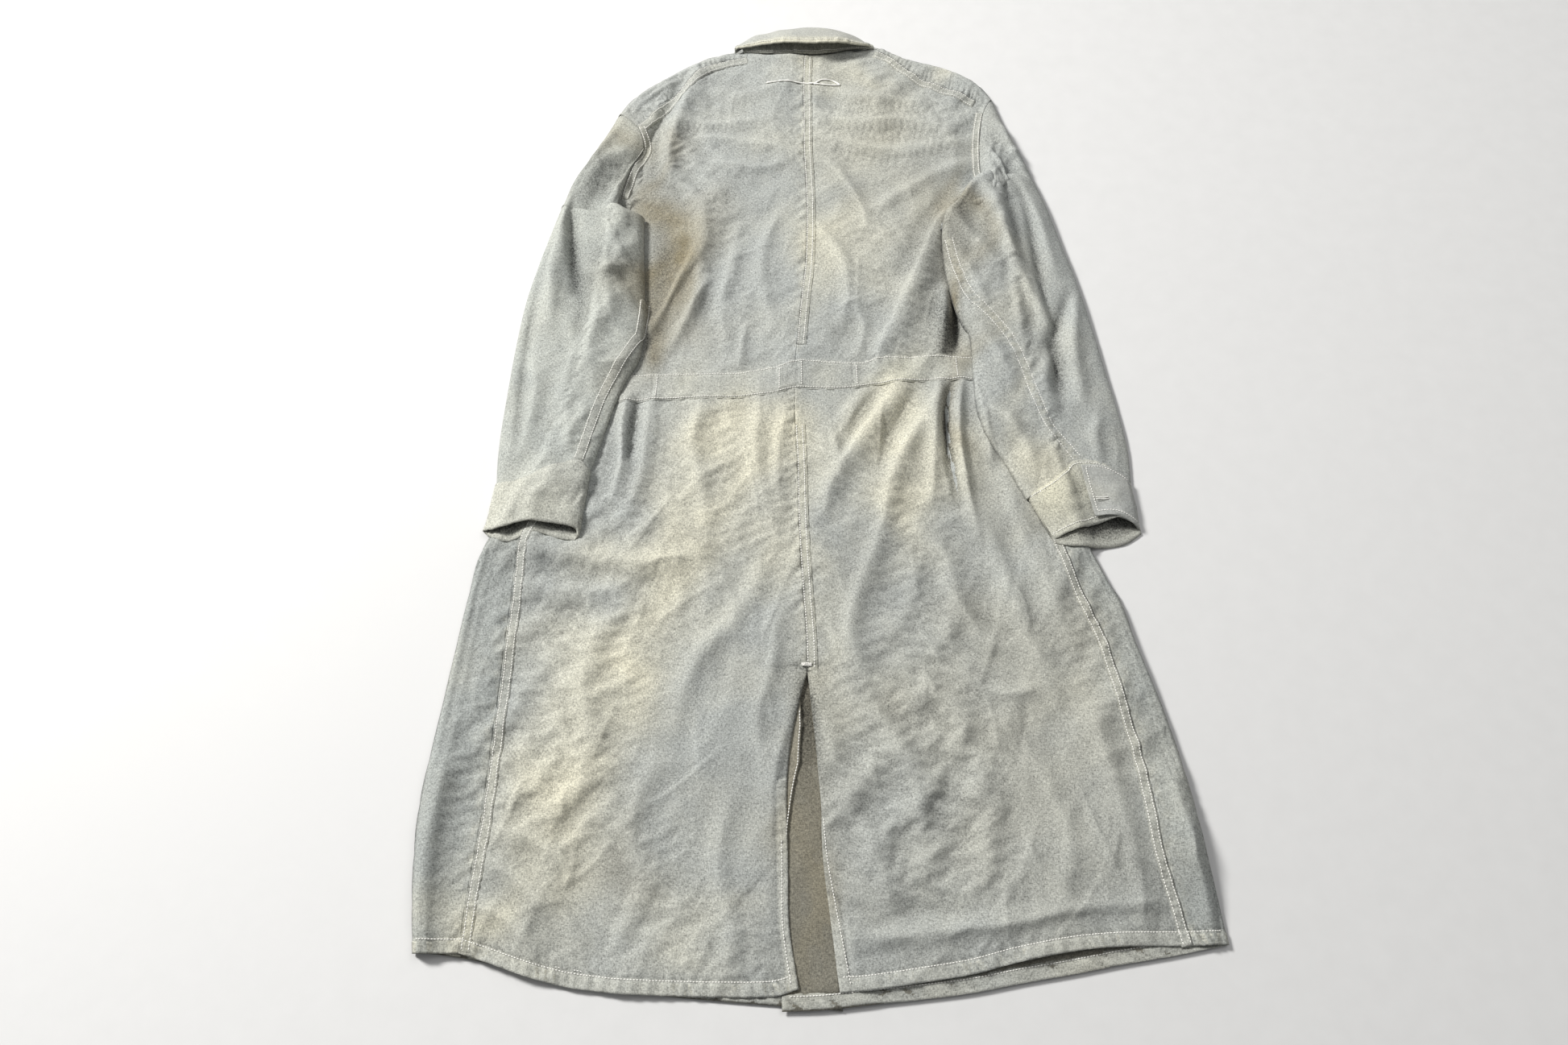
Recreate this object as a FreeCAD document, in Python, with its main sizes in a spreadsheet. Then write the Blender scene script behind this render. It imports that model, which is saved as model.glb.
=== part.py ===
"""Long button-front artist's smock coat, stored lying flat with its back upward.

Frame, in mm: +X to the wearer's right, +Y from the hem towards the collar, +Z up. Z = 0 is the
surface it lies on, and X = Y = 0 is the middle of the whole outline. Every cloth piece is a slab
one cloth thick, stacked in the order the real layers lie in, from the patch pockets and buttons
of the front (underneath) to the back panels, seams, collar and sleeves (on top).
"""
import FreeCAD
import Part
import Sketcher
import math
import os

V = FreeCAD.Vector
doc = FreeCAD.newDocument("smock")

# ------------------------------------------------------------------ driving dimensions, in mm
sheet = doc.addObject("Spreadsheet::Sheet", "Dims")
DIMENSIONS = [
    ("cloth", "1.0", "thickness of one cloth, with its nap"),
    ("ply", "0.8", "thickness of a turned or felled layer"),
    ("air", "0.15", "gap left between two layers that only touch"),
    ("pocket_base", "0", "outer face of the patch pocket, on the floor"),
    ("pocket_rim", "1.2", "turned edge of a patch pocket"),
    ("left_front_z", "2.4", "outer face of the left front, which laps over"),
    ("right_front_z", "4.6", "outer face of the right front, which lies inside"),
    ("back_z", "16", "inner face of the back"),
    ("band_ply", "1.3", "thickness of the waistband on the back"),
    ("front_lap", "60", "overlap of the two fronts"),
    ("button_dia", "18", "front button"),
    ("button_thick", "2.1", "front button"),
    ("cuff_button_dia", "14", "cuff button"),
    ("pocket_wide", "165", "lower patch pocket"),
    ("pocket_deep", "185", "lower patch pocket"),
    ("chest_wide", "115", "breast pocket"),
    ("chest_deep", "130", "breast pocket"),
    ("collar_ply", "1.8", "collar, two cloths sewn together"),
    ("collar_tilt", "24", "rise of the collar's fall from its roll, degrees"),
    ("roll_y", "642.4", "roll line of the collar"),
    ("roll_z", "18.6", "height of the roll line"),
    ("cuff_ply", "1.8", "cuff, two cloths sewn together"),
    ("cuff_long", "60", "length of a cuff"),
    ("sleeve_z", "19.6", "under face of a sleeve where it lies on the back"),
    ("hem_wide", "14", "depth of the turned hem"),
    ("seam_wide", "12", "width of a felled seam"),
    ("facing_wide", "60", "width of the front facing"),
    ("vent_facing_wide", "13", "width of the turned edge of the vent"),
]
for row, (alias, value, note) in enumerate(DIMENSIONS, 1):
    sheet.set("A%d" % row, alias)
    sheet.set("B%d" % row, value)
    sheet.setAlias("B%d" % row, alias)
    sheet.set("C%d" % row, note)
doc.recompute()


def dim(name):
    """The value of a driving dimension, in mm."""
    return float(sheet.get(name))


# ------------------------------------------------------------------ outlines, in mm
LEFT_SIDE = [(-254.2, 337), (-262.2, 242.7), (-272.1, 143.5), (-282, 66.1), (-297.9, 14.5),
             (-326.7, -54.9), (-353.5, -104.5), (-378.3, -154.1), (-387.2, -203.7),
             (-396.1, -273.2), (-403.1, -332.7), (-410, -392.2), (-414.5, -441.9),
             (-414, -491.5), (-410, -541.1), (-403.8, -588.3)]
RIGHT_SIDE = [(247.8, 337), (255.7, 242.7), (263.7, 143.5), (269.6, 74.1), (281.5, 14.5),
              (293.4, -54.9), (308.3, -114.4), (321.2, -154.1), (335.1, -188.9),
              (348, -218.6), (358.9, -263.3), (372.8, -312.9), (383.7, -357.5),
              (392.6, -402.2), (400.6, -451.8), (406.5, -501.4), (411.5, -551), (414.5, -579.8)]
LEFT_SEAM = [(-231.3, 331.4), (-237.2, 237.7), (-245.1, 139), (-253, 62), (-270.8, 10.7),
             (-298.4, -58.3), (-320.1, -107.7), (-334.9, -147.1), (-337.9, -206.4),
             (-341.8, -305), (-344.8, -403.7), (-347.7, -472.8), (-352.7, -532), (-356.6, -587.2)]
RIGHT_SEAM = [(228.5, 331.4), (234.4, 237.7), (240.3, 139), (245.3, 83.7), (256.1, 10.7),
              (269.9, -58.3), (281.8, -117.5), (291.6, -157), (306.4, -206.4), (321.2, -245.8),
              (331.1, -285.3), (341, -334.6), (349.8, -384), (354.8, -433.3), (360.7, -492.5),
              (370.6, -541.8), (378.5, -581.3)]
CENTRE_UPPER = [(-3.4, 588.9), (-5.4, 543.5), (-5.4, 484.3), (-5.4, 425.1), (-3.4, 375.8),
                (-2.4, 326.5), (-4.4, 247.5), (-10.3, 188.3), (-16.2, 119.3), (-18.2, 77.3)]
CENTRE_SKIRT = [(-19.2, 76.8), (-18.2, 10.7), (-16.2, -38.6), (-15.2, -107.7),
                (-13.3, -157), (-10.3, -206.4), (-7.3, -255.7), (-6.3, -295.2)]
WAIST_LEFT = [(-253, 58.1), (-231.3, 57.1), (-191.8, 58.1), (-142.5, 61), (-93.2, 63),
              (-53.7, 67.9), (-19.2, 76.8)]
WAIST_RIGHT = [(-18.2, 77.3), (5.5, 80.8), (54.8, 78.8), (114, 83.7), (153.5, 86.7),
               (202.8, 84.7), (245.3, 83.7)]
BAND_TOP = [(-255, 75.8), (-231.3, 75.8), (-201.7, 77.8), (-142.5, 79.8), (-93.2, 81.8),
            (-68.5, 86.7), (-38.9, 91.6), (-24.1, 97.5), (5.5, 100.5), (54.8, 96.6),
            (79.5, 99.5), (114, 102.5), (153.5, 104.5), (202.8, 101.5), (245.3, 99.5)]
BAND_BOTTOM = [(-255, 35.4), (-229.3, 36.4), (-191.8, 38.3), (-142.5, 41.3), (-93.2, 44.3),
               (-43.8, 50.2), (-14.2, 58.1), (35.1, 58.1), (74.6, 63), (114, 66),
               (153.5, 67.9), (199.9, 67), (247.8, 64)]
NECK_LEFT = [(-3.4, 588.9), (-34, 587.9), (-83.3, 589.9)]
NECK_RIGHT = [(-3.4, 588.9), (23.3, 589.9), (46.9, 598.8), (66.7, 602.7), (96.3, 601.7)]
LEFT_SHOULDER_SEAM = [(-83.3, 589.9), (-112.9, 584), (-144.5, 567.2), (-177, 528.7),
                      (-201.7, 499.1), (-229.8, 461.4)]
RIGHT_SHOULDER_SEAM = [(96.3, 601.7), (116, 590.9), (133.8, 573.1), (153.5, 556.4),
                       (183.1, 537.6), (239, 505.1)]
LEFT_SHOULDER = [(-91.5, 603.9), (-123.3, 596), (-153, 581.1), (-192.7, 556.3),
                 (-232.4, 521.5), (-257.5, 487.9)]
RIGHT_SHOULDER = [(96.6, 611.8), (112.9, 605.9), (134.7, 591), (174.4, 578.1),
                  (204.1, 565.2), (233.9, 541.4), (252.8, 514.7)]
LEFT_ARMHOLE = [(-229.8, 461.4), (-219.9, 429.7), (-234.8, 398.1), (-241.7, 368.4),
                (-254.2, 337)]
RIGHT_ARMHOLE = [(239, 487.1), (233.1, 457.4), (230.1, 427.8), (229.1, 388.2),
                 (236, 358.5), (247.8, 337)]
LEFT_VENT_EDGE = [(-9.6, -306), (-12.3, -324.8), (-24.1, -374.1), (-29, -423.4),
                  (-28.1, -502.4), (-27.1, -561.6), (-18.2, -618.8)]
RIGHT_VENT_EDGE = [(-6.5, -306), (-2.4, -344.5), (2.5, -393.8), (7.5, -443.2),
                   (8.5, -492.5), (13.4, -541.8), (20.3, -601), (23.3, -625.7)]
LEFT_BACK_HEM = [(-356.6, -588.2), (-330, -596.1), (-290.5, -608.9), (-251, -618.8),
                 (-221.4, -622.7)]
LEFT_FLAP_HEM = [(-217.5, -623.2), (-191.8, -625.7), (-142.5, -627.7), (-93.2, -628.7),
                 (-43.8, -628.7), (-18.2, -622.7)]
RIGHT_FLAP_HEM = [(23.3, -625.7), (54.8, -622.7), (104.2, -615.8), (153.5, -607.9),
                  (202.8, -596.1)]
RIGHT_BACK_HEM = [(207.8, -595.1), (252.2, -587.2), (301.5, -582.3), (378.5, -581.3)]
LEFT_FRONT_HEM = [(-403.8, -589.3), (-377.9, -590.3), (-333.1, -597.3), (-273.2, -612.2),
                  (-193.5, -624.2), (-93.8, -633.1), (5.9, -640.1), (26, -642)]
RIGHT_FRONT_HEM = [(-34, -642.4), (5.9, -641.1), (55.7, -636.1), (105.6, -631.1),
                   (155.4, -625.2), (205.3, -616.2), (255.1, -608.2), (304.9, -599.2),
                   (354.8, -591.3), (414.5, -580.3)]
FRONT_NECK_LEFT = [(26, 520), (0, 528), (-40, 552), (-70, 580), (-91.5, 603.9)]
FRONT_NECK_RIGHT = [(-34, 520), (0, 526), (45, 552), (76, 585), (96.6, 611.8)]
FRONT_WAIST_Y = 64.0
LEFT_FOLD = ((-8.0, -297.5), (-219.5, -622.5))
RIGHT_FOLD = ((-6.0, -297.5), (205.3, -596.5))
COLLAR_OUTLINE = [(-101, -36), (-98, -20), (-50, -4), (-5, 0), (35, -2), (72, -12), (92, -26),
                  (93, -36), (66, -44), (36, -52), (0, -55), (-50, -50), (-85, -42)]
BUTTON_YS = [470, 340, 210, -20, -150, -280]


# ------------------------------------------------------------------ small geometry helpers
def offset(path, distance):
    """The open path moved sideways by distance, to its left when it is positive."""
    out = []
    for i, (x, y) in enumerate(path):
        ax, ay = path[max(i - 1, 0)]
        bx, by = path[min(i + 1, len(path) - 1)]
        length = math.hypot(bx - ax, by - ay)
        out.append((x - (by - ay) / length * distance, y + (bx - ax) / length * distance))
    return out


def strip(path, near, far):
    """The closed outline of a strip between two offsets of one open path."""
    return offset(path, near) + offset(path, far)[::-1]


def at(path, y):
    """The x of a path that runs along Y, at one y."""
    for (x0, y0), (x1, y1) in zip(path, path[1:]):
        if min(y0, y1) <= y <= max(y0, y1) and y0 != y1:
            return x0 + (x1 - x0) * (y - y0) / (y1 - y0)
    return min(path, key=lambda p: abs(p[1] - y))[0]


def between(path, low, high):
    """The part of a path that runs along Y from one y to another, with its ends cut there."""
    inner = [p for p in path if low < p[1] < high]
    ends = [(at(path, high), high), (at(path, low), low)]
    return [ends[0]] + inner + [ends[1]]


# ------------------------------------------------------------------ feature helpers
def sketch_on(body, name, outline, holes, z_from):
    """A constrained sketch of straight lines, and round or slot holes, at a height."""
    sk = body.newObject("Sketcher::SketchObject", name)
    plane = [o for o in body.Origin.OriginFeatures if o.Role == "XY_Plane"][0]
    sk.AttachmentSupport = (plane, [""])
    sk.MapMode = "FlatFace"
    sk.setExpression("AttachmentOffset.Base.z", z_from)
    for ring in [outline] + [h for h in holes if isinstance(h, list)]:
        points = [V(x, y, 0) for x, y in ring]
        first = sk.GeometryCount
        n = len(points)
        for i in range(n):
            sk.addGeometry(Part.LineSegment(points[i], points[(i + 1) % n]))
        rules = []
        for i in range(n):
            rules.append(Sketcher.Constraint("Coincident", first + i, 2, first + (i + 1) % n, 1))
            rules.append(Sketcher.Constraint("DistanceX", -1, 1, first + i, 1, points[i].x))
            rules.append(Sketcher.Constraint("DistanceY", -1, 1, first + i, 1, points[i].y))
        sk.addConstraint(rules)
    for hole in holes:
        if isinstance(hole, list):
            continue
        x, y, radius = hole
        g = sk.addGeometry(Part.Circle(V(x, y, 0), V(0, 0, 1), radius))
        sk.addConstraint([Sketcher.Constraint("DistanceX", -1, 1, g, 3, x),
                          Sketcher.Constraint("DistanceY", -1, 1, g, 3, y),
                          Sketcher.Constraint("Radius", g, radius)])
    return sk


def slab(node, outline, z_from, thick, holes=(), more=()):
    """A cloth piece: one padded outline, with any further padded outlines of the same piece."""
    body = doc.addObject("PartDesign::Body", node)
    body.Label = node
    layers = [(outline, holes, z_from, thick)] + list(more)
    for i, (ring, gaps, base, height) in enumerate(layers):
        sk = sketch_on(body, "%s_sketch%d" % (node, i), ring, gaps, base)
        pad = body.newObject("PartDesign::Pad", "%s_pad%d" % (node, i))
        pad.Profile = sk
        pad.setExpression("Length", height)
        sk.Visibility = False
    body.Placement = FreeCAD.Placement()
    return body


def solid(node, shape):
    """A piece whose swept form suits neither sketches nor primitives."""
    part = doc.addObject("Part::Feature", node)
    part.Label = node
    part.Shape = shape
    part.Placement = FreeCAD.Placement()
    return part


def section(points, y):
    """A closed wire of (x, z) points, upright at one y."""
    ring = [V(x, y, z) for x, z in points]
    return Part.makePolygon(ring + [ring[0]])


def skin(stations):
    """A solid swept straight from station to station; each is (y, [(x, z), ...])."""
    made = Part.makeLoft([section(points, y) for y, points in stations], True, True)
    if made.Volume < 0:
        made.reverse()
    return made


# ------------------------------------------------------------------ fronts, underneath
LF, RF, BK = "Dims.left_front_z", "Dims.right_front_z", "Dims.back_z"
CL, PLY, AIR = "Dims.cloth", "Dims.ply", "Dims.air"
wl, wr = 26.0, 26.0 - dim("front_lap")
slots = [[(x0, y - 1.6), (x1, y - 1.6), (x1, y + 1.6), (x0, y + 1.6)]
         for y in BUTTON_YS for x0, x1 in [(-14.0, 8.0)]]
left_side_up = between(LEFT_SIDE, FRONT_WAIST_Y + 0.3, 337)
left_side_dn = between(LEFT_SIDE, -588.3, FRONT_WAIST_Y - 0.3)
right_side_up = between(RIGHT_SIDE, FRONT_WAIST_Y + 0.3, 337)
right_side_dn = between(RIGHT_SIDE, -579.8, FRONT_WAIST_Y - 0.3)

left_upper = ([(wl, FRONT_WAIST_Y + 0.3)] + FRONT_NECK_LEFT + LEFT_SHOULDER[1:]
              + [(-229.8, 461.4)] + LEFT_ARMHOLE[1:-1] + left_side_up)
slab("left_front_upper", left_upper, LF, CL, [s for s in slots if s[0][1] > 100])
right_upper = ([(wr, FRONT_WAIST_Y + 0.3)] + FRONT_NECK_RIGHT + RIGHT_SHOULDER[1:]
               + RIGHT_ARMHOLE[:-1] + right_side_up)
slab("right_front_upper", right_upper, RF, CL)
slab("left_front_skirt", [(wl, FRONT_WAIST_Y - 0.3)] + left_side_dn + LEFT_FRONT_HEM[1:], LF, CL,
     [s for s in slots if s[0][1] < 0])
slab("right_front_skirt", [(wr, FRONT_WAIST_Y - 0.3)] + right_side_dn
     + RIGHT_FRONT_HEM[::-1][1:], RF, CL)

inset = dim("facing_wide")
left_facing_slots = [[(x0, y - 2), (x1, y - 2), (x1, y + 2), (x0, y + 2)]
                     for y in BUTTON_YS for x0, x1 in [(-15.0, 9.0)]]
slab("left_front_facing", [(wl - 0.5, 519), (wl - 0.5, -627), (wl - inset, -624),
                           (wl - inset, 541)], LF + " + Dims.cloth + 0.1", PLY, left_facing_slots)
slab("right_front_facing", [(wr + 0.5, 519), (wr + 0.5, -627), (wr + inset, -624),
                            (wr + inset, 523)], RF + " + Dims.cloth + 0.1", PLY)
slab("left_front_hem", strip([(-401.2, -589.4)] + LEFT_FRONT_HEM[1:-2] + [(wl - inset - 1.5, -635.7)], 1.0,
                             dim("hem_wide")), LF + " + Dims.cloth + 0.1", PLY)
slab("right_front_hem", strip([(wr + inset + 1.5, -638.6)] + RIGHT_FRONT_HEM[2:-1] + [(411.2, -580.8)], 1.0,
                              dim("hem_wide")), RF + " + Dims.cloth + 0.1", PLY)
slab("left_front_waistband", [(wl, 44), (-292, 44), (-286, 84), (wl, 84)],
     LF + " - Dims.ply - 0.1", PLY)
slab("right_front_waistband", [(wl + 3, 44), (275, 44), (268, 84), (wl + 3, 84)],
     RF + " - Dims.ply - 0.1", PLY)


def pocket(node, cx, top, wide, deep, base, thick):
    """A patch pocket: a face with its three turned edges, open at the top."""
    x0, x1, y0 = cx - wide / 2, cx + wide / 2, top - deep
    face = [(x0, top), (x0, y0 + 18), (x0 + 18, y0), (x1 - 18, y0), (x1, y0 + 18), (x1, top)]
    edge = 9.0
    rim = face + [(x1 - edge, top), (x1 - edge, y0 + 21), (x1 - 21, y0 + edge),
                  (x0 + 21, y0 + edge), (x0 + edge, y0 + 21), (x0 + edge, top)]
    return slab(node, face, base, thick, more=[(rim, [], base + " + " + thick, "Dims.pocket_rim")])


pocket("left_lower_pocket", -190, -60, dim("pocket_wide"), dim("pocket_deep"),
       "Dims.pocket_base", CL)
pocket("right_lower_pocket", 190, -60, dim("pocket_wide"), dim("pocket_deep"),
       "Dims.pocket_base + 2.1", CL)
pocket("breast_pocket", -120, 400, dim("chest_wide"), dim("chest_deep"), "Dims.pocket_base", CL)

button = doc.addObject("Part::Feature", "front_buttons")
button.Label = "front_buttons"
made = []
for y in BUTTON_YS:
    r, t = dim("button_dia") / 2, dim("button_thick")
    disc = Part.makeCylinder(r, t, V(-3, y, 0))
    disc = disc.cut(Part.makeCylinder(r - 2.2, 0.5, V(-3, y, 0)))
    for dx, dy in ((1.7, 1.7), (1.7, -1.7), (-1.7, 1.7), (-1.7, -1.7)):
        disc = disc.cut(Part.makeCylinder(0.9, t, V(-3 + dx, y + dy, 0)))
    shank = Part.makeCylinder(1.1, dim("right_front_z") - t, V(-3, y, t))
    made.append(disc.fuse(shank).removeSplitter())
button.Shape = Part.makeCompound(made)

# ------------------------------------------------------------------ sides and shoulders
LWALL = LF + " + Dims.cloth + 0.2"
RWALL = RF + " + Dims.cloth + 0.2"


def wrap(node, rim, seam, inner, wall_base):
    """The front's cloth where it turns a side or shoulder and comes up on to the back."""
    top = rim + seam[::-1]
    wall = rim + offset(rim, inner)[::-1]
    return slab(node, top, BK, CL, more=[(wall, [], wall_base, BK + " - (" + wall_base + ")")])


wrap("left_side_upper", between(LEFT_SIDE, 68, 337), between(LEFT_SEAM, 68, 331.4), 1.2, LWALL)
wrap("right_side_upper", between(RIGHT_SIDE, 68, 337), between(RIGHT_SEAM, 68, 331.4), -1.2, RWALL)
wrap("left_side_skirt", between(LEFT_SIDE, -588.3, 66), between(LEFT_SEAM, -587.2, 66), 1.2, LWALL)
wrap("right_side_skirt", between(RIGHT_SIDE, -579.8, 66), between(RIGHT_SEAM, -579.8, 66), -1.2,
     RWALL)
wrap("left_shoulder", LEFT_SHOULDER, [(-84.3, 591.5)] + LEFT_SHOULDER_SEAM[1:], 1.2, LWALL)
wrap("right_shoulder", RIGHT_SHOULDER, [(97.3, 602.9)] + RIGHT_SHOULDER_SEAM[1:], -1.2, RWALL)

# ------------------------------------------------------------------ back panels
g = 0.15
back_left = (offset(CENTRE_UPPER, -g) + WAIST_LEFT[::-1][1:]
             + [(x + 0.3, y) for x, y in between(LEFT_SEAM, 66, 331.4)[::-1]][1:]
             + [(x + 0.3, y) for x, y in LEFT_ARMHOLE[::-1][1:]]
             + [(x + 0.3, y - 0.3) for x, y in LEFT_SHOULDER_SEAM[::-1][1:-1]]
             + [(-83.3, 589.6)] + NECK_LEFT[1:-1])
slab("left_back_upper", back_left, BK, CL)
back_right = (offset(CENTRE_UPPER, g) + [(x, y + 0.15) for x, y in WAIST_RIGHT[1:]]
              + [(x - 0.5, y) for x, y in between(RIGHT_SEAM, 84.5, 331.4)[::-1]][1:]
              + [(x - 0.3, y) for x, y in RIGHT_ARMHOLE[::-1][1:]]
              + [(x - 0.3, y - 0.3) for x, y in RIGHT_SHOULDER_SEAM[::-1][:-1]]
              + NECK_RIGHT[::-1][:-1])
slab("right_back_upper", back_right, BK, CL)

(la, lb), (ra, rb) = LEFT_FOLD, RIGHT_FOLD
skirt_left = (offset(CENTRE_SKIRT, -g) + [(la[0] - 0.3, la[1]), (lb[0] - 0.3, lb[1])]
              + LEFT_BACK_HEM[::-1][:-1]
              + [(x + 0.3, y) for x, y in between(LEFT_SEAM, -587.2, 57.5)[::-1]]
              + [(x, y - 0.3) for x, y in WAIST_LEFT[1:-1]])
slab("left_back_skirt", skirt_left, BK, CL)
skirt_right = (offset(CENTRE_SKIRT, g) + [(ra[0] + 0.3, ra[1]), (rb[0] + 0.3, rb[1])]
               + RIGHT_BACK_HEM[:-1]
               + [(x - 0.3, y) for x, y in between(RIGHT_SEAM, -581.3, 83.5)[::-1]]
               + [(x, y - 0.15) for x, y in WAIST_RIGHT[::-1][1:]])
slab("right_back_skirt", skirt_right, BK, CL)

UNDER = BK + " - Dims.ply - 0.1"
OVER = BK + " + Dims.cloth + 0.1"
slab("left_back_pleat", [(-222, 54), (-198, 56), (-201, -20), (-219, -20)], UNDER, PLY)
slab("right_back_pleat", [(160, 84), (186, 83), (180, -90), (166, -90)], UNDER, PLY)
slab("left_back_hem", strip(LEFT_BACK_HEM[:-1] + [(-226, -622)], 1.0, dim("hem_wide")), UNDER, PLY)
slab("right_back_hem", strip([(213, -594)] + RIGHT_BACK_HEM[1:], 1.0, dim("hem_wide")), UNDER, PLY)
slab("neck_label", [(-50, 552), (45, 552), (45, 584), (-50, 584)], UNDER, PLY)
w = dim("seam_wide")
slab("centre_back_seam", strip(between(CENTRE_UPPER, 106, 586), 0.0, w), OVER, PLY)
slab("centre_skirt_seam", strip(between(CENTRE_SKIRT, -288, 48), 0.0, w), OVER, PLY)
slab("left_side_seam", strip(between(LEFT_SEAM, -582, 30), 0.5, w), OVER, PLY)
slab("right_side_seam", strip(between(RIGHT_SEAM, -577, 58), -0.5, -w), OVER, PLY)
slab("left_shoulder_seam", strip(LEFT_SHOULDER_SEAM, 0.5, 14), OVER, PLY)
slab("right_shoulder_seam", strip(RIGHT_SHOULDER_SEAM[:-1] + [(231, 509.5)], -0.5, -13), OVER, PLY)
slab("left_armhole_seam", strip([(-221.5, 446)] + [(x + 1, y) for x, y in LEFT_ARMHOLE[1:-1]]
                                + [(-246, 344)], 0.5, 10), OVER, PLY)
slab("right_armhole_seam", strip([(x - 1, y) for x, y in RIGHT_ARMHOLE[:-1]] + [(240, 344)],
                                 -0.5, -11), OVER, PLY)
slab("back_waistband", BAND_TOP + BAND_BOTTOM[::-1], OVER, "Dims.band_ply")
slab("vent_bar_tack", [(-12.5, -288.8), (-2, -288.8), (-2, -291.6), (-12.5, -291.6)], OVER, PLY)


# ------------------------------------------------------------------ vent flaps, which fold back
def inner_strip(edge, hem, side):
    """The turned cloth under a vent flap: one strip down the vent edge and along its hem."""
    wide = dim("vent_facing_wide")
    return strip(edge, 0.8 * side, wide * side), strip(hem, 1.0, dim("hem_wide"))


left_flap = [(la[0] + 0.3, la[1] - 4)] + LEFT_VENT_EDGE + LEFT_FLAP_HEM[::-1]
slab("left_vent_flap", left_flap, BK, CL)
right_flap = [(ra[0] - 0.1, ra[1] - 4)] + RIGHT_VENT_EDGE[:-1] + RIGHT_FLAP_HEM
slab("right_vent_flap", right_flap, BK, CL)
slab("left_vent_facing", strip(LEFT_VENT_EDGE[1:-1] + [(-22, -607)], -0.8,
                               -dim("vent_facing_wide")), UNDER, PLY,
     more=[(strip([(-200, -624)] + LEFT_FLAP_HEM[2:-1] + [(-24, -623)], 1.0, dim("hem_wide")), [],
            UNDER, PLY)])
slab("right_vent_facing", strip(RIGHT_VENT_EDGE[1:-2] + [(19.5, -610)], 0.8,
                                dim("vent_facing_wide")), UNDER, PLY,
     more=[(strip([(24.5, -624)] + RIGHT_FLAP_HEM[1:-1] + [(187, -599)], 1.0, dim("hem_wide")), [],
            UNDER, PLY)])

# ------------------------------------------------------------------ collar
slab("collar_stand", [(-80, 592.5), (-60, 591), (0, 591.5), (22, 593), (45, 601), (66, 605),
                      (88, 606), (78, 622), (36, 634), (-5, 637), (-50, 633), (-84, 619)],
     BK + " + Dims.cloth - Dims.collar_ply + 0.8", "Dims.collar_ply")
slab("collar_points", [(-104, 606), (-118, 560), (-112, 520), (-60, 538), (-30, 519), (22, 519),
                       (60, 536), (112, 522), (120, 562), (104, 613), (40, 632), (-5, 635),
                       (-60, 630)], "Dims.pocket_base", "Dims.collar_ply")
fall = slab("collar_fall", COLLAR_OUTLINE, "0 * Dims.collar_ply", "Dims.collar_ply")
fall.Placement = FreeCAD.Placement(V(0, dim("roll_y"), dim("roll_z")),
                                   FreeCAD.Rotation(V(1, 0, 0), -dim("collar_tilt")))

# ------------------------------------------------------------------ sleeves
L_OUT = [(-259.8, 487), (-274.7, 459.2), (-291.5, 429.5), (-311.4, 389.9), (-326.2, 340.3),
         (-339.1, 290.8), (-351, 241.3), (-360.9, 191.8), (-367.8, 122.4), (-372.8, 43.2),
         (-375.7, -6.4), (-375.7, -46), (-372.8, -67.8), (-376.7, -95.5), (-380.7, -127)]
L_IN = [(-259, 486), (-233, 462.5), (-222.3, 430), (-237.2, 398.5), (-244.1, 368.6),
        (-248, 345), (-213.6, 314.2), (-210.7, 257.5), (-205.8, 179.4), (-205.8, 101.3),
        (-224.4, 57.3), (-239, 13.4), (-250.7, -35.4), (-260.5, -79.4), (-269.3, -127)]
R_OUT = [(255.3, 513.7), (270.1, 479), (288, 439.4), (302.8, 389.9), (317.7, 340.3),
         (332.5, 280.9), (342.4, 241.3), (352.4, 191.8), (362.3, 132.3), (370.2, 92.7),
         (377.1, 43.2), (382.1, -6.4), (383.1, -55.9), (382.1, -95.5), (383.1, -124)]
R_IN = [(254.6, 512.7), (241.5, 487.8), (235.5, 457.7), (232.5, 428), (231.6, 388.4),
        (238.5, 362), (171.1, 291.7), (171.1, 257.5), (174, 208.7), (180.9, 169.6),
        (195.5, 120.8), (198.5, 32.9), (203.3, 3.6), (224.8, -35.4), (239.5, -64.7),
        (264, -124)]


def ramp(y, table):
    """A value that goes in straight steps through (y, value) pairs, highest y first."""
    for (y0, v0), (y1, v1) in zip(table, table[1:]):
        if y >= y1:
            return v0 + (v1 - v0) * (y0 - min(y, y0)) / (y0 - y1)
    return table[-1][1]


LIFT = [(440, 3.4), (405, 19.6), (-200, 19.6)]
GAP_IN = [(480, 12.2), (440, 12.4), (375, 26), (320, 28), (150, 20), (-60, 12), (-200, 12)]
GAP_OUT = [(480, 12.2), (300, 16), (-30, 13), (-200, 12)]


def sleeve_station(y, side, outer, inner, edge, floor):
    """The eight corners of a sleeve at one y: four on the under cloth, four on the over cloth."""
    x_in, x_out = at(inner, y), at(outer, y)
    lift = ramp(y, LIFT)
    body = at(edge, y) + side * 5.0
    ledge = side * max(side * body, side * x_in + 3.0)
    room = side * x_out - side * ledge
    drop = ramp(y, [(70, floor), (-60, lift)]) if room > 18.0 else lift
    ledge = ledge if room > 18.0 else x_in + 0.45 * (x_out - x_in)
    toe = ledge + 0.55 * (x_out - ledge) if room <= 40 else ledge + side * 22.0
    low = [(x_in, lift), (ledge, lift), (toe, drop), (x_out, drop)]
    gaps = [ramp(y, GAP_IN), ramp(y, GAP_IN), 0.5 * (ramp(y, GAP_IN) + ramp(y, GAP_OUT)),
            ramp(y, GAP_OUT)]
    return low, [(x, z + gap) for (x, z), gap in zip(low, gaps)]


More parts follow.
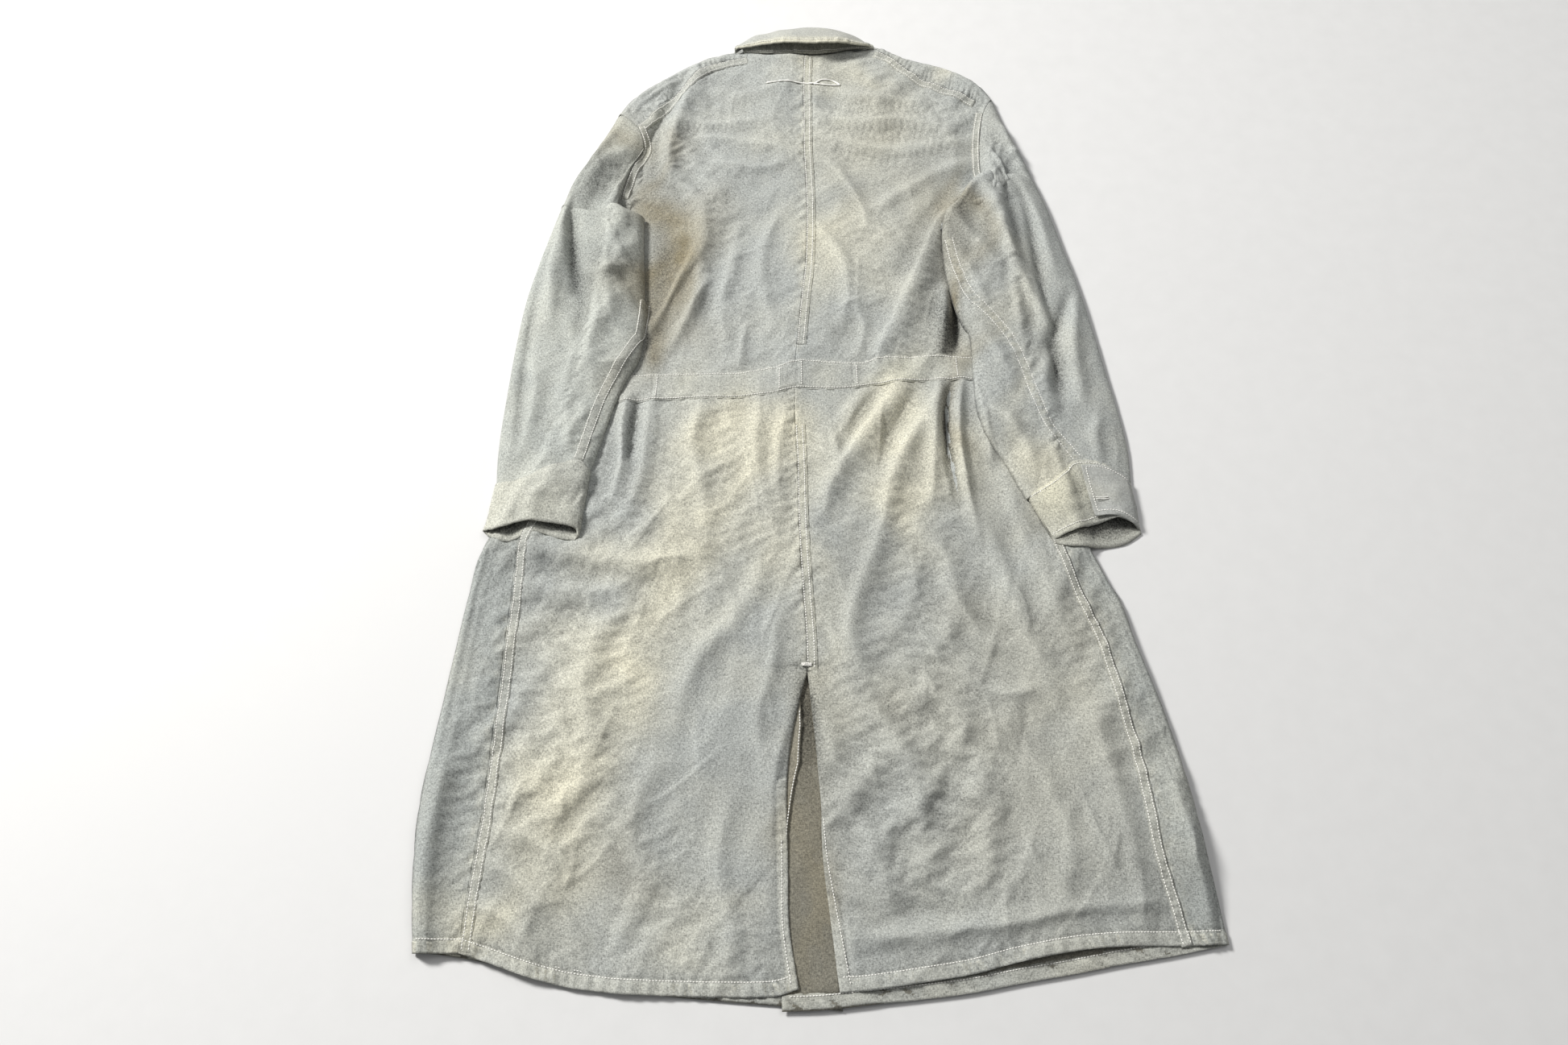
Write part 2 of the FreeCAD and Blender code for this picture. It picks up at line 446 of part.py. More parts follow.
def sleeve(side, outer, inner, edge, floor, ys):
    """The two cloths of a sleeve: the under one with its inner fold, the over one with its outer."""
    t, air, wall = dim("cloth"), 0.1, 1.2
    under, over = [], []
    for y in ys:
        low, high = sleeve_station(y, side, outer, inner, edge, floor)
        (x0, z0), (x1, z1), (x2, z2), (x3, z3) = low
        tops = [z for _, z in high]
        under.append((y, [(x0, z0), (x1, z1), (x2, z2), (x3, z3), (x3, z3 + t), (x2, z2 + t),
                          (x1, z1 + t), (x0 + side * wall, z0 + t),
                          (x0 + side * wall, tops[0] - air), (x0, tops[0] - air)]))
        over.append((y, [(x0, tops[0]), (x1, tops[1]), (x2, tops[2]),
                         (x3 - side * wall, tops[3]), (x3 - side * wall, z3 + t + air),
                         (x3, z3 + t + air), (x3, tops[3] + t), (x2, tops[2] + t),
                         (x1, tops[1] + t), (x0, tops[0] + t)]))
    return skin(under), skin(over)


CUFF_TOP = {-1: -67.0, 1: -62.0}
CUFF_END = {-1: -127.0, 1: -124.0}
L_YS = [476, 462.5, 430, 404, 374, 345, 318, 285, 240, 180, 120, 70, 20, -30, -66.7]
R_YS = [500, 487.8, 457.7, 428, 404, 374, 345, 318, 285, 240, 180, 120, 70, 20, -30, -61.7]
L_EDGE, R_EDGE = LEFT_ARMHOLE + LEFT_SIDE[1:], RIGHT_ARMHOLE + RIGHT_SIDE[1:]
l_under, l_over = sleeve(-1, L_OUT, L_IN, L_EDGE, 3.2, L_YS)
r_under, r_over = sleeve(1, R_OUT, R_IN, R_EDGE, 3.2, R_YS)
solid("left_sleeve_under", l_under)
solid("left_sleeve_over", l_over)
solid("right_sleeve_under", r_under)
solid("right_sleeve_over", r_over)


def cuff(side, outer, inner):
    """A cuff: a flattened ring, two cloths thick, a little wider than the sleeve's end."""
    t, z0 = dim("cuff_ply"), dim("sleeve_z") - 0.3
    rings = []
    for grow in (0.0, t):
        rings.append(skin([(y, [(at(inner, y) + side * grow, z0 + grow),
                                (at(outer, y) - side * grow, z0 + grow),
                                (at(outer, y) - side * grow, z0 + 15.4 - grow),
                                (at(inner, y) + side * grow, z0 + 15.4 - grow)])
                           for y in (CUFF_TOP[side], CUFF_END[side])]))
    return rings[0].cut(rings[1])


solid("left_cuff", cuff(-1, L_OUT, L_IN))
solid("right_cuff", cuff(1, R_OUT, R_IN))


def sleeve_seam(side, outer, inner, edge, floor, path):
    """A felled seam on the over cloth of a sleeve, standing just above it."""
    rows = []
    for x, y in path:
        low, high = sleeve_station(y, side, outer, inner, edge, floor)
        half = dim("seam_wide") / 2
        line = sorted(high)
        ends = []
        for px in (x - half, x + half):
            z = line[-1][1] if px > line[-1][0] else line[0][1]
            for (xa, za), (xb, zb) in zip(line, line[1:]):
                if xa <= px <= xb:
                    z = za + (zb - za) * (px - xa) / (xb - xa)
            ends.append((px, z + dim("cloth") + 0.35))
        (xa, za), (xb, zb) = ends
        z = max(za, zb)
        rows.append((y, [(xa, z), (xb, z), (xb, z + dim("ply")), (xa, z + dim("ply"))]))
    return skin(sorted(rows, key=lambda r: -r[0]))


solid("left_sleeve_seam", sleeve_seam(-1, L_OUT, L_IN, L_EDGE, 3.2,
                                      [(-219, 180), (-221, 120), (-239, 70), (-254, 20),
                                       (-267, -30), (-271, -57)]))
solid("right_sleeve_seam", sleeve_seam(1, R_OUT, R_IN, R_EDGE, 3.2,
                                       [(184, 240), (207, 180), (246, 120), (266, 70),
                                        (280, 20), (300, -30)]))


def cuff_button(node, x, y, z):
    """A small four-hole button, face up or face down on a cuff."""
    r, t = dim("cuff_button_dia") / 2, 1.8
    disc = Part.makeCylinder(r, t, V(x, y, z))
    for dx, dy in ((1.4, 1.4), (1.4, -1.4), (-1.4, 1.4), (-1.4, -1.4)):
        disc = disc.cut(Part.makeCylinder(0.8, t, V(x + dx, y + dy, z)))
    return solid(node, disc)


cuff_z = dim("sleeve_z") - 0.3
cuff_button("left_cuff_button", -330, -98, cuff_z - 1.9)
cuff_button("right_cuff_button", 336, -92, cuff_z + 15.5)
slab("right_cuff_tab", [(314.5, -63), (340.8, -62.6), (378, -66.7), (380, -118), (358, -117),
                        (340.8, -113.4), (322.3, -110.5)],
     "Dims.sleeve_z + 17.3", "Dims.cuff_ply",
     [[(328, -93.6), (344, -93.6), (344, -90.4), (328, -90.4)]])

# ------------------------------------------------------------------ checks, then the STEP files
doc.recompute()
nodes = [o for o in doc.Objects
         if o.TypeId in ("PartDesign::Body", "Part::Feature") and o.getParentGeoFeatureGroup() is None]
bad = []
for obj in doc.Objects:
    if {"Invalid", "Error"} & set(obj.State):
        bad.append("%s: %s" % (obj.Name, obj.State))
for obj in nodes:
    if obj.Shape.isNull() or not obj.Shape.isValid() or not obj.Shape.Solids:
        bad.append("%s: shape" % obj.Label)
if bad:
    raise SystemExit("not written: " + "; ".join(bad))
os.makedirs("parts", exist_ok=True)
for obj in nodes:
    obj.Shape.exportStep(os.path.join("parts", obj.Label + ".step"))
box = FreeCAD.BoundBox()
for obj in nodes:
    box.add(obj.Shape.BoundBox)
print(len(nodes), "nodes", box)
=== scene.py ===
"""A long artist's smock lying flat with its back up: cloth, seams, stitching and finishes.

Sizes are in millimetres in the row frame, and become metres when a mesh is made. Cloth is a grid of
points. Its shape is drawn from pattern curves and folds, then let settle under its own weight.
"""

import logging
import math
from dataclasses import dataclass, field
from enum import Enum
from typing import Optional, Sequence

import bpy
import mathutils
import numpy as np
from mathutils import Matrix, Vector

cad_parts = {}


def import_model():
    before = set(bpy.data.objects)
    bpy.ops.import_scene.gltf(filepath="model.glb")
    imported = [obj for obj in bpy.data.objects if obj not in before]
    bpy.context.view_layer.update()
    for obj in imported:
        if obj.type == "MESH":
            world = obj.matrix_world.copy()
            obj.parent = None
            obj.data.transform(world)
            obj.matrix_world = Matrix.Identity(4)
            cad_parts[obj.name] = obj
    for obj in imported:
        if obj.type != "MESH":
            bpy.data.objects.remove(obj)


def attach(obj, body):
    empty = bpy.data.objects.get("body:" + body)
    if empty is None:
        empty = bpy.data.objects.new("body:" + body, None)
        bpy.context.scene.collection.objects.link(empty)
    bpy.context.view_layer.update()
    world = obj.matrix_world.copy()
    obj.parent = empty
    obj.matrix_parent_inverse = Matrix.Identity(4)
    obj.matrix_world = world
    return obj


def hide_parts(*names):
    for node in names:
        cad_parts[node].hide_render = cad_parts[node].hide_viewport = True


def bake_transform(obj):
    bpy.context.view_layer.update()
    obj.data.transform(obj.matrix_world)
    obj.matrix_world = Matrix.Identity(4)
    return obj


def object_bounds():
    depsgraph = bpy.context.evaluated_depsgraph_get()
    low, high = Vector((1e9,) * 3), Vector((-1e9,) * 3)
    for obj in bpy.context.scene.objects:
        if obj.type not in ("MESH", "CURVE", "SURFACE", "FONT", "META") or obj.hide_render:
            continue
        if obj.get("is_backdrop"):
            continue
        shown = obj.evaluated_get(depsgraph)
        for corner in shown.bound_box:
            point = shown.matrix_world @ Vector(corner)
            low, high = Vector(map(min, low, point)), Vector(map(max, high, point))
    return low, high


LOG = logging.getLogger("smock")
Array = np.ndarray
Path2 = Sequence[tuple[float, float]]
MM = 0.001
COAT = "coat"
Tree, Socket = bpy.types.NodeTree, bpy.types.NodeSocket
Thing, Material = bpy.types.Object, bpy.types.Material


class Side(Enum):
    """The wearer's left, at -X, or right, at +X."""

    LEFT = -1
    RIGHT = 1


# ---------------------------------------------------------------- curves, grids and noise
def curve(points: Path2, count: int, ease: float = 0.0) -> Array:
    """A smooth line through the points, evenly spaced along its length.

    A Catmull-Rom cubic is taken between each two points, then read at equal steps of its arc length.
    With ease, the steps s become s - ease * sin(2 pi s) / (2 pi), which crowds them at both ends.

    Args:
        points: the points it passes through.
        count: how many points come back.
        ease: 0 for even steps, up to 0.9 to crowd them towards the ends.

    Returns:
        An array of (count, 2).
    """
    p = np.asarray(points, float)
    p = np.vstack([2 * p[0] - p[1], p, 2 * p[-1] - p[-2]])
    t = np.linspace(0, len(p) - 3 - 1e-9, 40 * (len(p) - 3))
    k = t.astype(int)
    f = (t - k)[:, None]
    a, b, c, d = p[k], p[k + 1], p[k + 2], p[k + 3]
    q = 0.5 * (2 * b + (c - a) * f + (2 * a - 5 * b + 4 * c - d) * f**2 + (3 * b - a - 3 * c + d) * f**3)
    arc = np.concatenate([[0], np.cumsum(np.linalg.norm(np.diff(q, axis=0), axis=1))])
    s = np.linspace(0, 1, count)
    s = s - ease * np.sin(2 * np.pi * s) / (2 * np.pi)
    s *= arc[-1]
    return np.stack([np.interp(s, arc, q[:, 0]), np.interp(s, arc, q[:, 1])], 1)


def coons(bottom: Array, top: Array, left: Array, right: Array) -> Array:
    """A patch filled in between four edge curves.

    The point at (u, v) is the blend of left and right, plus the blend of bottom and top, less the
    bilinear blend of the four corners.

    Args:
        bottom, top: (nu, 2) edges that run the same way.
        left, right: (nv, 2) edges that run the same way.

    Returns:
        An array of (nv, nu, 2).
    """
    u = np.linspace(0, 1, len(bottom))[None, :, None]
    v = np.linspace(0, 1, len(left))[:, None, None]
    sides = (1 - u) * left[:, None] + u * right[:, None]
    ends = (1 - v) * bottom[None] + v * top[None]
    corners = ((1 - u) * (1 - v) * bottom[0] + u * (1 - v) * bottom[-1]
               + (1 - u) * v * top[0] + u * v * top[-1])
    return sides + ends - corners


def between(low: Array, high: Array, rows: int) -> Array:
    """A patch between two lines, with straight ends."""
    return coons(low, high, curve([low[0], high[0]], rows), curve([low[-1], high[-1]], rows))


def to_path(x: Array, y: Array, path: Path2) -> tuple[Array, Array, Array]:
    """How far each point lies from a line of straight runs.

    Args:
        x, y: the points.
        path: the corners of the line.

    Returns:
        The distance, the side (+1 to its left), and how far along it the foot is, from 0 to 1.
    """
    path = np.asarray(path, float)
    best = np.full(np.shape(x), 1e9)
    side = np.ones(np.shape(x))
    along = np.zeros(np.shape(x))
    runs = np.linalg.norm(np.diff(path, axis=0), axis=1)
    total = runs.sum()
    start = 0.0
    for (ax, ay), (bx, by), run in zip(path[:-1], path[1:], runs):
        dx, dy = (bx - ax) / run, (by - ay) / run
        t = np.clip((x - ax) * dx + (y - ay) * dy, 0, run)
        d = np.hypot(x - ax - t * dx, y - ay - t * dy)
        near = d < best
        best = np.where(near, d, best)
        side = np.where(near, np.sign(dx * (y - ay) - dy * (x - ax)), side)
        along = np.where(near, (start + t) / total, along)
        start += run
    return best, side, along


def step(x: Array, low: float, high: float) -> Array:
    """0 below low, 1 above high, and a smooth cubic between them."""
    t = np.clip((x - low) / (high - low), 0, 1)
    return t * t * (3 - 2 * t)


def bell(x: Array, middle: float, wide: float) -> Array:
    """A Gaussian bell of height 1: exp(-((x - middle) / wide)^2)."""
    return np.exp(-((x - middle) / wide) ** 2)


def quarter(d: Array, size: float) -> Array:
    """A quarter circle that rises from 0 at d = 0 to 1 at d = size: sqrt(1 - (1 - d / size)^2)."""
    return np.sqrt(np.clip(1 - (1 - np.clip(d / size, 0, 1)) ** 2, 0, 1))


def raised(plan: Array, z: Array) -> Array:
    """The plan's points with their heights added as a third value."""
    return np.concatenate([plan, np.broadcast_to(z, plan.shape[:-1])[..., None]], -1)


def waves(x: Array, y: Array, size: float, seed: int, turn: float = 0.0, stretch: float = 1.0,
          count: int = 26) -> Array:
    """A sum of plane waves whose lengths lie round size, with unit spread.

    Args:
        x, y: where it is read.
        size: the usual wavelength.
        seed: picks the waves.
        turn: the direction that the crests run in, in degrees from +X.
        stretch: how much longer the crests are than they are wide.
        count: how many waves.

    Returns:
        The height at each point.
    """
    rng = np.random.default_rng(seed)
    c, s = math.cos(math.radians(turn)), math.sin(math.radians(turn))
    a, b = (x * c + y * s) / stretch, -x * s + y * c
    out = np.zeros(np.shape(x))
    for _ in range(count):
        angle, length = rng.uniform(0, np.pi), size * rng.uniform(0.7, 1.6)
        out += np.sin((a * math.cos(angle) + b * math.sin(angle)) * 2 * np.pi / length
                      + rng.uniform(0, 2 * np.pi))
    return out * math.sqrt(2 / count)


def crumple(x: Array, y: Array, size: float, seed: int, turn: float = 0.0,
            stretch: float = 1.0) -> Array:
    """Creased cloth: one less twice the size of a wave sum, so that its zeros are sharp ridges."""
    bend = waves(x, y, size * 2.5, seed + 50) * size * 0.25
    return 0.5 - np.abs(waves(x + bend, y - bend, size, seed, turn, stretch))


def facets(x: Array, y: Array, size: float, seed: int, turn: float = 0.0,
           stretch: float = 1.0) -> Array:
    """Cloth that has been crushed: cones round random places, which meet in sharp ridges.

    The height is the distance to the nearest place, in steps of size, less its usual value. The
    places are a square lattice with each moved at random, and slow waves bend the plane first.

    Args:
        x, y: where it is read.
        size: the usual gap between places.
        seed: picks them.
        turn, stretch: the direction in degrees from +X that cells are drawn out in, and how far.

    Returns:
        The height at each point, of about unit range.
    """
    rng = np.random.default_rng(seed)
    c, s = math.cos(math.radians(turn)), math.sin(math.radians(turn))
    a = (x * c + y * s) / stretch + waves(x, y, size * 3, seed + 9) * size * 0.2
    b = -x * s + y * c + waves(x, y, size * 3, seed + 10) * size * 0.2
    at = np.stack(np.meshgrid(np.arange(-800, 800, size), np.arange(-800, 800, size)), -1).reshape(-1, 2)
    at = at + rng.uniform(-0.5, 0.5, at.shape) * size
    ok = ((at[:, 0] > a.min() - size) & (at[:, 0] < a.max() + size)
          & (at[:, 1] > b.min() - size) & (at[:, 1] < b.max() + size))
    near = np.full(np.shape(x), 1e9)
    for px, py in at[ok]:
        near = np.minimum(near, (a - px) ** 2 + (b - py) ** 2)
    return 1.5 * np.sqrt(near) / size - 0.62


def creases(x: Array, y: Array, box: tuple[float, float, float, float], count: int, seed: int,
            turn: float, spread: float, long: float = 60.0, wide: float = 3.2,
            rise: float = 1.0) -> Array:
    """Many separate sharp creases, each a bent line that fades out at both ends.

    With s along a crease from -1 to 1 and t across it, its height is exp(-|t| / wide) times
    (1 - s^2)^2, and t is bent by a share of s^2. One side of each is three times as broad.

    Args:
        x, y: where it is read.
        box: low x, low y, high x and high y of their middles.
        count: how many.
        seed: picks them.
        turn, spread: their usual direction in degrees from +X, and how far it varies.
        long, wide, rise: the usual half length, width and height.

    Returns:
        The height at each point.
    """
    rng = np.random.default_rng(seed)
    out = np.zeros(np.shape(x))
    for _ in range(count):
        cx, cy = rng.uniform(box[0], box[2]), rng.uniform(box[1], box[3])
        angle = math.radians(turn + spread * rng.normal())
        half, bend, flip = long * rng.uniform(0.4, 1.5), rng.normal(0, 0.16), rng.choice((-1.0, 1.0))
        size = rise * rng.uniform(0.3, 1.3) * rng.choice((1.0, 1.0, -0.7))
        near = (np.abs(x - cx) < half + 30) & (np.abs(y - cy) < half + 30)
        dx, dy = x[near] - cx, y[near] - cy
        s = (dx * math.cos(angle) + dy * math.sin(angle)) / half
        t = flip * (-dx * math.sin(angle) + dy * math.cos(angle) - bend * half * s * s)
        thin = wide * rng.uniform(0.7, 1.5)
        shape = np.where(t > 0, np.exp(-t / (3.2 * thin)), np.exp(t / thin))
        out[near] += size * shape * np.clip(1 - s * s, 0, 1) ** 2
    return out


# ---------------------------------------------------------------- folds and height maps
@dataclass(frozen=True)
class Fold:
    """One ridge, or valley where rise is below 0, drawn along a line on the cloth."""

    line: Path2
    wide: float
    rise: float
    lean: float = 0.0

    def height(self, x: Array, y: Array) -> Array:
        """Its height: rise times a bell across the line, times a half sine along it.

        The bell is exp(-(d / wide)^1.6), with wide made larger on one side and smaller on the
        other by lean.
        """
        d, side, along = to_path(x, y, curve(self.line, 5 * len(self.line)))
        wide = self.wide * (1 + self.lean * side)
        ends = np.sqrt(np.clip(np.sin(np.pi * np.clip(0.06 + 0.88 * along, 0, 1)), 0, 1))
        return self.rise * ends * np.exp(-(d / wide) ** 1.6)


@dataclass
class Relief:
    """A height map over the floor, read between its cells."""

    cell: float = 2.5
    low: tuple[float, float] = (-450.0, -680.0)
    grid: Array = field(default_factory=lambda: np.zeros((550, 362)))

    def add(self, points: Array, lift: float = 0.0) -> "Relief":
        """A copy raised to the given points where they are higher.

        Each cell takes the highest point in it, and an empty cell takes the mean of its filled
        neighbours, four times over.
        """
        p = points.reshape(-1, 3)
        col = np.rint((p[:, 0] - self.low[0]) / self.cell).astype(int)
        row = np.rint((p[:, 1] - self.low[1]) / self.cell).astype(int)
        ok = (col >= 0) & (col < self.grid.shape[1]) & (row >= 0) & (row < self.grid.shape[0])
        top = np.full(self.grid.shape, -1.0)
        np.maximum.at(top, (row[ok], col[ok]), p[ok, 2] + lift)
        for _ in range(4):
            full = (top > -0.5).astype(float)
            pad_v, pad_f = np.pad(top * full, 1), np.pad(full, 1)
            total = sum(pad_v[1 + a:pad_v.shape[0] - 1 + a, 1 + b:pad_v.shape[1] - 1 + b]
                        for a in (-1, 0, 1) for b in (-1, 0, 1))
            weight = sum(pad_f[1 + a:pad_f.shape[0] - 1 + a, 1 + b:pad_f.shape[1] - 1 + b]
                         for a in (-1, 0, 1) for b in (-1, 0, 1))
            fill = (full < 0.5) & (weight > 3.5)
            top = np.where(fill, total / np.maximum(weight, 1), top)
        return Relief(self.cell, self.low, np.maximum(self.grid, np.where(top > -0.5, top, 0)))

    def at(self, x: Array, y: Array) -> Array:
        """The height at each point, by bilinear reading."""
        c = np.clip((x - self.low[0]) / self.cell, 0, self.grid.shape[1] - 1.001)
        r = np.clip((y - self.low[1]) / self.cell, 0, self.grid.shape[0] - 1.001)
        i, j = c.astype(int), r.astype(int)
        f, g = c - i, r - j
        h = self.grid
        return ((h[j, i] * (1 - f) + h[j, i + 1] * f) * (1 - g)
                + (h[j + 1, i] * (1 - f) + h[j + 1, i + 1] * f) * g)

    def soft(self, rounds: int) -> "Relief":
        """A copy smoothed by taking each cell's mean with its four neighbours."""
        h = self.grid
        for _ in range(rounds):
            p = np.pad(h, 1, mode="edge")
            h = (p[1:-1, 1:-1] * 2 + p[:-2, 1:-1] + p[2:, 1:-1] + p[1:-1, :-2] + p[1:-1, 2:]) / 6
        return Relief(self.cell, self.low, h)


def settle(shape: Array, held: Array, ground: Relief, spare: Array, rounds: int,
           cut: Optional[int] = None, weld_from: int = 0) -> Array:
    """Lets a grid of cloth fall on the ground and buckle.

    Each thread keeps its drawn length times one plus spare: neighbours, diagonals and next-but-one
    neighbours are pulled or pushed to that length in turn, next-but-one ones weakly, for bending.
    Gravity moves each point by its own last move and a small drop, a weak pull keeps the drawn
    shape, and a point below the ground is put on it.

    Args:
        shape: (rows, columns, 3) drawn points.
        held: true where a point can't move.
        ground: what it lies on.
        spare: extra length at each point, as a share.
        rounds: how many steps.
        cut: the last column before a cut; no thread crosses to the next column.
        weld_from: the first row from which the two sides of the cut stay together.

    Returns:
        The settled points.
    """
    p, last, links = shape.copy(), shape.copy(), []
    high, wide = shape.shape[:2]

    def link(r0: slice, c0: slice, r1: slice, c1: slice, stiff: float) -> None:
        """Adds one set of threads that share no points, with their lengths and stiffness."""
        a, b = (r0, c0), (r1, c1)
        rest = np.linalg.norm(shape[b] - shape[a], axis=-1) * (1 + 0.5 * (spare[a] + spare[b]))
        force = np.full(rest.shape, stiff)
        if cut is not None:
            cols = np.arange(wide)
            first, second = cols[c0], cols[c1]
            force[:, (np.minimum(first, second) <= cut) & (np.maximum(first, second) > cut)] = 0
        links.append((a, b, rest[..., None], force[..., None]))

    every = slice(None)
    for k in (0, 1):
        c0, c1 = slice(k, wide - 1, 2), slice(k + 1, wide, 2)
        r0, r1 = slice(k, high - 1, 2), slice(k + 1, high, 2)
        link(every, c0, every, c1, 0.5)
        link(r0, every, r1, every, 0.5)
        link(r0, slice(0, -1), r1, slice(1, None), 0.22)
        link(r0, slice(1, None), r1, slice(0, -1), 0.22)
    for gap, stiff in ((2, 0.12), (5, 0.08)):
        for k in range(0, 2 * gap):
            for n, flat in ((wide, True), (high, False)):
                index = np.arange(k, n - gap, 2 * gap)
                if len(index):
                    a = slice(k, int(index[-1]) + 1, 2 * gap)
                    b = slice(k + gap, int(index[-1]) + gap + 1, 2 * gap)
                    link(*((every, a, every, b) if flat else (a, every, b, every)), stiff)
    free = (~held)[..., None].astype(float)
    for _ in range(rounds):
        move = (p - last) * 0.9
        last = p.copy()
        p = p + free * move
        p[..., 2] -= 0.016 * free[..., 0]
        for a, b, rest, force in links:
            d = p[b] - p[a]
            size = np.sqrt((d * d).sum(-1, keepdims=True)) + 1e-6
            d *= force * (size - rest) / size
            p[a] += d * free[a]
            p[b] -= d * free[b]
        p += (shape - p) * np.array([0.02, 0.02, 0.006])
        p = np.where(held[..., None], shape, p)
        if cut is not None:
            mean = 0.5 * (p[weld_from:, cut] + p[weld_from:, cut + 1])
            p[weld_from:, cut] = mean
            p[weld_from:, cut + 1] = mean
        low = ground.at(p[..., 0], p[..., 1])
        under = (p[..., 2] < low) & ~held
        p[..., 2] = np.where(under, low, p[..., 2])
        last[..., :2] = np.where(under[..., None], 0.6 * last[..., :2] + 0.4 * p[..., :2],
                                 last[..., :2])
    return p


def finer(p: Array) -> Array:
    """The grid with a new row and column halfway between each two, by the four-point rule.

    A new point is 9/16 of its two neighbours less 1/16 of the next two, so that curves stay round.
    """
    for axis in (0, 1):
        q = np.moveaxis(p, axis, 0)
        ext = np.concatenate([2 * q[:1] - q[1:2], q, 2 * q[-1:] - q[-2:-1]])
        mid = (9 * (ext[1:-2] + ext[2:-1]) - ext[:-3] - ext[3:]) / 16
        out = np.empty((2 * len(q) - 1,) + q.shape[1:])
        out[0::2], out[1::2] = q, mid
        p = np.moveaxis(out, 0, axis)
    return p


def hollow(p: Array) -> Array:
    """How far each point stands above the mean of its surroundings, in mm, at two scales."""
    z = p[..., 2]
    out = np.zeros(z.shape)
    for rounds, share in ((4, 1.0), (40, 0.5)):
        s = z
        for _ in range(rounds):
            q = np.pad(s, 1, mode="edge")
            s = (q[:-2, 1:-1] + q[2:, 1:-1] + q[1:-1, :-2] + q[1:-1, 2:]) / 4
        out += share * (z - s)
    return out


# ---------------------------------------------------------------- meshes
# Values per point that the material reads; the stain and wear values carry painted shade and highlight as
# well as real stains and rubbing, and shade is painted shade.
MARKS = ("fade", "stain_and_shade", "wear_and_relief_shading", "shade")


def new_piece(name: str, verts: Array, faces: Sequence, finish: Material) -> Thing:
    """A smooth mesh object at the origin, made from points in metres and faces."""
    mesh = bpy.data.meshes.new(name)
    mesh.from_pydata(verts, [], faces)
    mesh.polygons.foreach_set("use_smooth", np.ones(len(faces), bool))
    mesh.materials.append(finish)
    obj = bpy.data.objects.new(name, mesh)
    bpy.context.collection.objects.link(obj)
    return obj


def surface(name: str, p: Array, finish: Material, *, uv: Optional[Array] = None,
            keep: Optional[Array] = None, flip: bool = False, thick: float = 0.8,
            wrap: bool = False, marks: Optional[dict[str, Array]] = None) -> Thing:
    """Makes one cloth piece from a grid of points.

    Args:
        name: the piece's name.
        p: (rows, columns, 3) points in millimetres; +u by +v points outward.
        finish: its material.
        uv: (rows, columns, 2) flat places in millimetres; the plan is used without it.
        keep: which of its (rows - 1, columns - 1) faces belong to it.
        flip: turns the faces over, for a piece whose outside is underneath.
        thick: the cloth's thickness, put on the inside.
        wrap: joins the last column to the first, for a tube.
        marks: named values per point for the material.

    Returns:
        The object, at the origin.
    """
    rows, cols = p.shape[:2]
    index = np.arange(rows * cols).reshape(rows, cols)
    if wrap:
        index = np.concatenate([index, index[:, :1]], 1)
    faces = np.stack([index[:-1, :-1], index[:-1, 1:], index[1:, 1:], index[1:, :-1]], -1)
    faces = faces[keep] if keep is not None else faces.reshape(-1, 4)
    if flip:
        faces = faces[:, ::-1]
    used, packed = np.unique(faces, return_inverse=True)
    faces = packed.reshape(-1, 4)
    verts = p.reshape(-1, 3)[used] * MM
    flat = (p[..., :2] if uv is None else uv).reshape(-1, 2)[used] * MM
    obj = new_piece(name, verts, faces, finish)
    mesh = obj.data
    layer = mesh.uv_layers.new(name="flat")
    layer.data.foreach_set("uv", flat[faces.reshape(-1)].astype(np.float32).reshape(-1))
    for key in MARKS:
        values = (marks or {}).get(key)
        values = np.zeros(rows * cols) if values is None else np.broadcast_to(values, (rows, cols))
        data = mesh.attributes.new(key, "FLOAT", "POINT")
        data.data.foreach_set("value", values.reshape(-1)[used].astype(np.float32))
    if thick > 0:
        wall = obj.modifiers.new("cloth", "SOLIDIFY")
        wall.thickness = thick * MM
        wall.offset = -1.0
    return obj


def copies(name: str, finish: Material, shape: Array, faces: Sequence[Sequence[int]],
           places: Array, ahead: Array, up: Array) -> Thing:
    """Many copies of one small closed shape, as one mesh.

    Each point of a copy is its place, plus its x along ahead, its y across and its z up.

    Args:
        name: the piece's name.
        finish: its material.
        shape: (k, 3) points of the small shape.
        faces: its faces.
        places, ahead, up: (n, 3) place and directions of each copy.

    Returns:
        The object.
    """
    across = np.cross(up, ahead)
    pts = (places[:, None] + shape[None, :, :1] * ahead[:, None]
           + shape[None, :, 1:2] * across[:, None] + shape[None, :, 2:] * up[:, None])
    polys = []
    for ring in faces:
        polys += (np.asarray(ring)[None] + len(shape) * np.arange(len(places))[:, None]).tolist()
    return new_piece(name, pts.reshape(-1, 3) * MM, polys, finish)


STITCH = np.array([[-1.45, 0, -0.3], [-0.9, 0.62, 0], [-0.9, 0, 0.55], [-0.9, -0.62, 0], [-0.9, 0, -0.3],
                   [0.9, 0.62, 0], [0.9, 0, 0.55], [0.9, -0.62, 0], [0.9, 0, -0.3], [1.45, 0, -0.3]])
STITCH_FACES = [
    (0, 2, 1), (0, 3, 2), (0, 4, 3), (0, 1, 4), (1, 2, 6, 5), (2, 3, 7, 6), (3, 4, 8, 7), (4, 1, 5, 8),
    (9, 5, 6), (9, 6, 7), (9, 7, 8), (9, 8, 5)]


